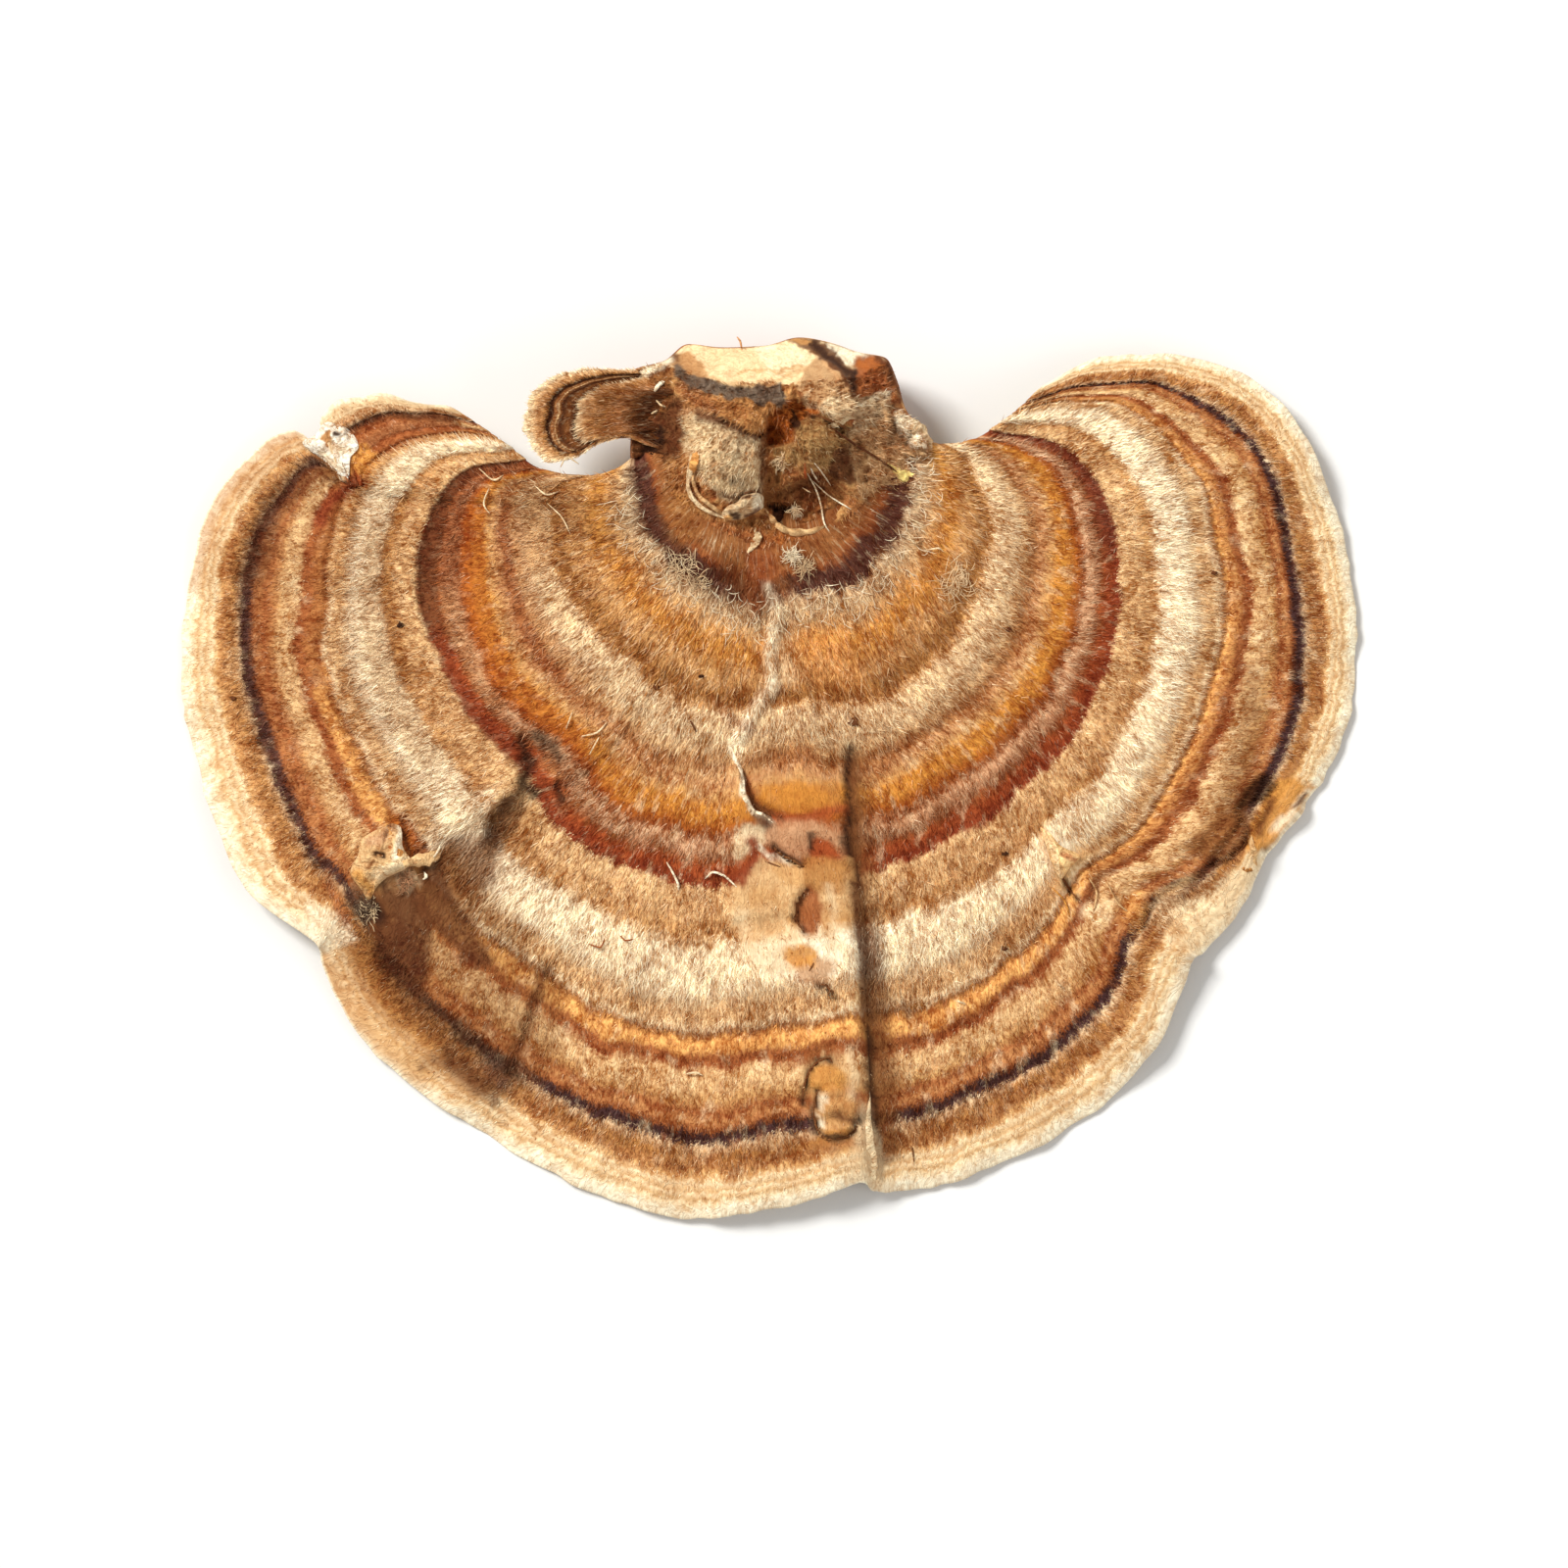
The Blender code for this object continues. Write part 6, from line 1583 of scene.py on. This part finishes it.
def joined_tubes(name, tubes, tones, material):
    """One object from several tubes, each in one tone, kept where stains and painted shade are kept."""
    points = []
    faces = []
    stain = []
    for rings, tone in zip(tubes, tones):
        tube_points, tube_faces = closed_tube(rings, sum(len(part) for part in points))
        points.append(tube_points)
        faces += tube_faces
        stain.append(np.tile([*tone, 1.0], (len(tube_points), 1)))
    piece = closed_object(name, np.concatenate(points), faces)
    point_values(piece, stain=np.concatenate(stain))
    piece.data.materials.append(material)
    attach(piece, "root")
    return piece


def crumpled_patch(name, outline, middle, height, thickness, bumps, marks, tone, seed, lowest=0.0):
    """A torn patch of dry skin that rests on the flesh below it, as a closed shell."""
    edge = closed_curve(outline, PATCH_SIDES)
    share = (np.arange(1, PATCH_RINGS + 1) / PATCH_RINGS)[:, None]
    middle = np.array(middle)
    spots = middle + (edge - middle)[None] * share[..., None]
    edge_ground = np.maximum(ground_levels(edge, grounds), lowest)[None]
    level = edge_ground * share + max(lowest, ground_levels(middle, grounds)) * (1 - share)
    level = level + height * (1 - share ** 4) + thickness * 0.5 + lumps(bumps, spots[..., 0], spots[..., 1])
    level += 0.12 * wander(spots[..., 0] * 3 + 80, spots[..., 1] * 3 + 80, seed)
    level += 0.06 * wander(spots[..., 0] * 8 + 400, spots[..., 1] * 8 + 400, seed + 1)
    above = np.dstack([spots, level])
    below = np.dstack([spots, level - thickness * (0.4 + 0.6 * (1 - share ** 6))])
    points, faces = closed_tube(np.concatenate([above, below[::-1]]))
    patch = closed_object(name, points, faces)
    toned = drawn_stains(points[:, 0], points[:, 1], marks, np.tile([*tone, 1.0], (len(points), 1)))
    point_values(patch, stain=toned)
    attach(patch, "root")
    return patch


scrap_skin = torn_flesh("scrap_skin", 0.8)
scrap_rings = [ribbon_rings(route, widths, rise, lean, SCRAP_THICKNESS, 60 + number)
               for number, (route, widths, rise, lean, _) in enumerate(SCRAPS)]
scraps = joined_tubes("torn_scraps", scrap_rings, [tone for *_, tone in SCRAPS], scrap_skin)
notch_flap = crumpled_patch("notch_flap", NOTCH_FLAP, (-23.3, -4.8), 0.3, 0.2, NOTCH_FLAP_LUMPS,
                            NOTCH_FLAP_STAINS_AND_PAINTED_LIGHT, HONEY, 68)
notch_patch = crumpled_patch("notch_patch", NOTCH_PATCH, (17.3, -4.5), 0.4, 0.2, NOTCH_PATCH_LUMPS,
                             NOTCH_PATCH_STAINS, PORE_TAN, 70)
membrane = crumpled_patch("tear_membrane", TEAR_MEMBRANE, (-25.9, 19.9), 0.15, 0.15, TEAR_MEMBRANE_LUMPS,
                          TEAR_MEMBRANE_STAINS_AND_SHADE, MEMBRANE_WHITE, 72, 2.6)
for patch in (notch_flap, notch_patch, membrane):
    patch.data.materials.append(scrap_skin)

# Two dry husks that lie in the groove round the stump's foot: split, papery strands of plant skin,
# the left one with a crumpled scrap at its end. They are held only by the flesh they rest in.
LEFT_STRANDS = (
    ((-44, 194, -45.5, 189, -47, 182, -48, 175, -46, 169, -42, 164, -37, 160.5, -30, 157.5, -24, 155.5),
      (0.35, 0.5, 0.35, 0.25, 0.28, 0.28, 0.3, 0.3, 0.3), IVORY),
    ((-44, 184, -45, 179, -44, 174, -41.5, 169, -37, 165, -31, 160.5, -26, 157.5), (0.2, 0.2, 0.22, 0.22,
      0.25, 0.3, 0.25), HONEY),
)
YELLOW_HEAD = ((-42.5, 195, -44, 190, -45, 185, -45.5, 182), (0.4, 0.55, 0.5, 0.2), ORANGE)
CRUMPLED_OUTLINE = (-28, 158, -24, 163, -19, 165, -15, 169, -6, 170.5, -3, 168, -3, 163, -6, 160, -12, 157,
    -17, 155, -24, 154.5)
CRUMPLED_MIDDLE = (-1.5, 16.15)
CRUMPLED_LUMPS = (
    (-2.1, 15.75, 0.3, 0.16, -0.4),
    (-1.2, 16.75, 0.5, 0.1, -0.35),
    (-2.4, 15.6, 0.25, 0.15, 0.2),
    (-0.7, 16.5, 0.4, 0.3, 0.25),
    (-1.7, 16.2, 0.3, 0.2, 0.15),
)
CRUMPLED_STAINS_AND_SHADE = (
    ((-23, 157.5, -18, 157.5), 0.2, SHADE, 0.95),
    ((-16, 167.2, -8, 168), 0.09, UMBER, 0.9),
    ((-6, 166, -6, 162), 0.35, CREAM, 0.9),
    ((-25, 156, -23, 155.5), 0.15, ORANGE, 0.8),
    ((-13, 157.5, -5, 160.5), 0.14, UMBER, 0.9),
)
CRUMPLED_HEIGHT = 0.75
CRUMPLED_THICKNESS = 0.7
RIGHT_HUSK = (-2.5, 161.5, 1, 157, 4, 153, 8.5, 149.5, 15, 147.5, 22, 147.5, 28.5, 149, 35.5, 152)
RIGHT_HUSK_WIDTHS = (0.2, 0.35, 0.4, 0.38, 0.42, 0.4, 0.4, 0.1)
HUSK_THICK = 0.2

husk_skin = torn_flesh("husk_skin", 0.8)
left_tubes = [ribbon_rings(route, widths, 0.55, 0.5, HUSK_THICK, 80 + number)
              for number, (route, widths, _) in enumerate((*LEFT_STRANDS, YELLOW_HEAD))]
left_tones = [tone for _, _, tone in (*LEFT_STRANDS, YELLOW_HEAD)]
left_strands = joined_tubes("left_husk_strands", left_tubes, left_tones, husk_skin)
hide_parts("dry_husk_left")

# The crumpled scrap: a hollow-looking lump with a dark hole at its front, which is painted shade, and a slit
# along its top
crumpled = crumpled_patch("crumpled_husk", CRUMPLED_OUTLINE, CRUMPLED_MIDDLE, CRUMPLED_HEIGHT,
                          CRUMPLED_THICKNESS, CRUMPLED_LUMPS, CRUMPLED_STAINS_AND_SHADE, BISCUIT, 86)
crumpled.data.materials.append(husk_skin)

right_rings = ribbon_rings(RIGHT_HUSK, RIGHT_HUSK_WIDTHS, 0.5, 0.5, HUSK_THICK, 90)
right_husk = joined_tubes("right_husk", [right_rings], [WARM_TAN], husk_skin)
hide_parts("dry_husk_right")

# Loose fibres, woolly tufts and specks of bark on the cap and the stump. The fibres are thin stiff
# threads that lie on the velvet or stand out of it, and the specks cling to its hairs.
FIBRES = (
    # Out of the stump's right lump
    ((21.5, 188, 21.5, 183.5, 22, 179), 0.16, RUST),
    ((25, 185, 27, 181, 30, 177), 0.12, CREAM),
    ((27, 188, 32, 182, 37, 175), 0.1, CREAM),
    ((26, 178, 36, 169, 44, 164, 49, 161), 0.1, CREAM),
    ((23, 182, 28, 173, 31, 164, 33, 153, 36, 148), 0.12, CREAM),
    ((20, 174, 23, 172, 25, 171), 0.09, PALE),
    # On and round the rest of the stump
    ((-19, 264, -17, 261, -16, 256), 0.14, PINK_CREAM),
    ((-67, 226, -64, 223, -61, 222), 0.14, IVORY),
    ((-68, 231, -65, 235, -62, 237), 0.3, CREAM),
    ((-70, 218, -66, 220), 0.12, IVORY),
    ((37, 209, 50, 200, 65, 191, 80, 181), 0.16, UMBER),
    # On the cap's upper part
    ((83, 146, 87, 141, 92, 143), 0.12, PALE),
    ((94, 137, 101, 138, 104, 136), 0.12, PALE),
    ((83, 156, 94, 151), 0.1, PALE),
    ((-139, 175, -132, 170, -125, 172), 0.12, PALE),
    ((-132, 165, -123, 156, -118, 146), 0.1, PALE),
    ((-124, 186, -120, 192, -113, 188), 0.12, PALE),
    ((-173, 186, -164, 179, -158, 182), 0.12, PALE),
    ((-167, 174, -170, 165, -166, 158), 0.12, PALE),
    # On its middle and near the notches
    ((-112, 26, -103, 28, -96, 35), 0.12, PALE),
    ((-107, 15, -101, 26), 0.1, PALE),
    ((-121, 30, -117, 41), 0.1, PALE),
    ((-61, -49, -57, -56, -54, -63, -54, -66), 0.16, CREAM),
    ((-38, -59, -33, -55, -27, -57, -19, -64), 0.16, CREAM),
    ((-203, -49, -198, -43, -196, -39), 0.14, CREAM),
    ((-108, -98, -101, -100, -98, -95), 0.12, COCOA),
    ((-89, -93, -85, -96, -80, -95), 0.12, COCOA),
    ((-50, -176, -44, -175, -39, -177), 0.14, PALE),
    ((169, -64, 177, -73, 180, -82), 0.14, GOLDEN),
    ((191, -58, 196, -68, 194, -79), 0.14, HONEY),
    ((202, -61, 209, -74, 215, -79), 0.12, HONEY),
    ((171, -120, 177, -125), 0.14, PALE),
    ((112, -132, 118, -134), 0.12, PALE),
    ((-47, 36, -43, 28), 0.14, UMBER),
)
# Dark threads along cracks where torn skin has parted, and along lips and loop edges where they stand for
# painted shade: places along each and its width
CRACKS_AND_SHADE_LINES = (
    ((-19.9, 12.6, -17.3, 7.3, -14.7, 3.6), 0.11),
    ((-12, -9, -7, -16, 2, -22), 0.14),
    ((3, -40, 7, -44, 15, -48, 21, -52), 0.24),
    ((-1, -49, 7, -52), 0.11),
    ((23, -65, 18, -72, 16, -82, 21, -91), 0.16),
    ((29, -122, 33, -122, 37, -126, 39, -129), 0.16),
    ((24, -114, 26, -111, 27, -109), 0.1),
    ((20, -193, 21, -184, 24, -175, 30, -168, 36, -166, 38, -169), 0.18),
    ((30, -185, 28, -189, 27, -197, 28, -206, 31, -212, 36, -215, 47, -213, 52, -209, 53, -204), 0.19),
    ((86, -220, 87, -229), 0.11),
    ((173, -53, 177, -61, 181, -67, 189, -74), 0.14),
    ((228, -75, 226, -83, 222, -89), 0.18),
    ((265, -51, 275, -47, 285, -39, 287, -31, 281, -20), 0.14),
    ((26, 217, 39, 212, 49, 207), 0.18),
)
CRACK_AND_SHADE_LIFT = 0.04
CRACK_AND_SHADE_BROWN = linear(120, 72, 38)
FIBRE_LIFT = 0.3
FIBRE_STATIONS = 14
FIBRE_SIDES = 5
# Specks: place, width and colour
SPECKS = (
    ((-22.0, 9.3), 0.5, SHADE), ((-32.1, 4.9), 0.4, UMBER), ((-6.7, 5.5), 0.4, UMBER),
    ((5.1, 3.4), 0.75, UMBER), ((-4.0, 6.2), 0.35, SHADE), ((14.3, 9.0), 0.4, UMBER),
    ((14.1, -4.4), 0.4, SHADE), ((26.6, 12.4), 0.4, UMBER), ((14.1, -10.1), 0.4, UMBER),
)
SPECK_SIDES = 10
SPECK_FORM = ((-0.1, 0.6), (0.05, 1.0), (0.14, 0.8), (0.2, 0.4))
# Woolly tufts: middle, spread, how many hairs, their length and colour
TUFTS = (
    ((1.4, 13.4), 0.3, 90, 0.6, CREAM),
    ((2.1, 12.7), 0.35, 70, 0.7, BISCUIT),
    ((-5.2, 12.6), 0.8, 70, 0.9, PALE),
    ((-3.9, 12.0), 0.6, 30, 0.8, BISCUIT),
    ((-21.7, -6.1), 0.5, 90, 0.7, GREY_PINK),
    ((-24.2, -7.8), 0.8, 90, 0.5, SOOT),
    ((-24.0, -7.9), 0.7, 60, 0.5, PALE),
    ((1.6, 16.1), 0.2, 40, 0.5, PALE),
    ((0.7, 18.9), 0.3, 40, 0.6, PALE),
    ((11.2, 11.8), 0.9, 80, 1.1, PALE),
)
CURL_STATIONS = 7
CURL_WIDTH = 0.045
# Curly hairs stand all along the fringe outside the innermost dark ring
FRINGE_CURLS = 300
FRINGE_GROWTH = (0.07, 0.13)


def thread_rings(middle, levels, width, sides):
    """Rings of a thin thread through places and heights, tapered at both ends."""
    turns = 2 * math.pi * np.arange(sides) / sides
    along = np.linspace(0.0, 1.0, len(middle))
    half = 0.5 * width * (0.3 + 0.7 * np.sin(math.pi * along) ** 0.5)
    spots = middle[:, None] + left_of(middle)[:, None] * (half[:, None] * np.cos(turns)[None])[..., None]
    return np.dstack([spots, levels[:, None] + half[:, None] * np.sin(turns)[None]])


def thread_on_flesh(route, width, lift):
    """Rings of a thread that lies on the flesh along its route, also where it sticks out beyond it."""
    along, middle = along_route(route, FIBRE_STATIONS)
    levels = ground_levels(middle, grounds)
    levels = np.where(levels > 0, levels, levels.max())
    return thread_rings(middle, levels + lift * np.sin(math.pi * (0.15 + 0.85 * along)), width, FIBRE_SIDES)


fibre_chance = np.random.default_rng(83)
fibre_rings = [thread_on_flesh(route, width, FIBRE_LIFT + 0.05 * fibre_chance.normal())
               for route, width, _ in FIBRES]
fibres = joined_tubes("loose_fibres", fibre_rings, [tone for *_, tone in FIBRES], scrap_skin)

# Dark threads: real cracks, and lines of painted shade along lips and loop edges
crack_and_shade_rings = [thread_on_flesh(route, width, CRACK_AND_SHADE_LIFT) for route, width in CRACKS_AND_SHADE_LINES]
crack_and_shade_threads = joined_tubes("dark_cracks", crack_and_shade_rings, [CRACK_AND_SHADE_BROWN] * len(CRACKS_AND_SHADE_LINES), scrap_skin)

speck_rings = []
turns = 2 * math.pi * np.arange(SPECK_SIDES) / SPECK_SIDES
round_spots = np.column_stack([np.cos(turns), 0.7 * np.sin(turns)])
for place, width, _ in SPECKS:
    uneven = 1 + 0.35 * fibre_chance.uniform(-1, 1, SPECK_SIDES)
    base = float(ground_levels(np.array(place), grounds))
    speck_rings.append(np.array([np.column_stack([
        place + 0.5 * width * share * round_spots * uneven[:, None],
        np.full(SPECK_SIDES, base + level)]) for level, share in SPECK_FORM]))
specks = joined_tubes("bark_specks", speck_rings, [tone for *_, tone in SPECKS], scrap_skin)


def grow_curl(root, heading, length, curl, tone, lightness):
    """Adds a curly hair to those below: it lifts off its root, bends to one side and comes down again."""
    along = np.linspace(0.0, 1.0, CURL_STATIONS)
    bend = heading + curl * along
    way = np.column_stack([np.cos(bend), np.sin(bend)]) * (length / (CURL_STATIONS - 1))
    middle = root + np.cumsum(way, axis=0) - way[0]
    levels = 0.08 + length * 0.35 * curl_chance.uniform(0.5, 1.0) * np.sin(math.pi * 0.8 * along)
    curl_rings.append(thread_rings(middle, ground_levels(root, grounds) + levels, CURL_WIDTH, 3))
    curl_tones.append(np.multiply(tone, curl_chance.uniform(*lightness)))


curl_chance = np.random.default_rng(84)
curl_rings = []
curl_tones = []
for place, spread, count, length, tone in TUFTS:
    for _ in range(count):
        root = np.array(place) + spread * curl_chance.normal(size=2) * 0.5
        grow_curl(root, curl_chance.uniform(0, 2 * math.pi), length * curl_chance.uniform(0.5, 1.3),
                  curl_chance.normal() * 1.6, tone, (0.75, 1.2))
fringe_columns = curl_chance.uniform(0.03, 0.97, FRINGE_CURLS)
fringe_rows = np.sort(curl_chance.uniform(*FRINGE_GROWTH, FRINGE_CURLS))
column_order = np.argsort(fringe_columns)
fringe_places, _ = fan_places(np.sort(fringe_columns), fringe_rows)
fringe_roots = fringe_places[np.arange(FRINGE_CURLS), column_order]
for root in fringe_roots:
    outward_way = math.atan2(root[1] - STUMP_MIDDLE[1], root[0] - STUMP_MIDDLE[0])
    grow_curl(root, outward_way + curl_chance.normal() * 0.7, curl_chance.uniform(0.4, 1.0),
              curl_chance.normal(), CREAM, (0.8, 1.25))
curls = joined_tubes("curly_hairs", curl_rings, curl_tones, torn_flesh("curl_hair", 0.25))
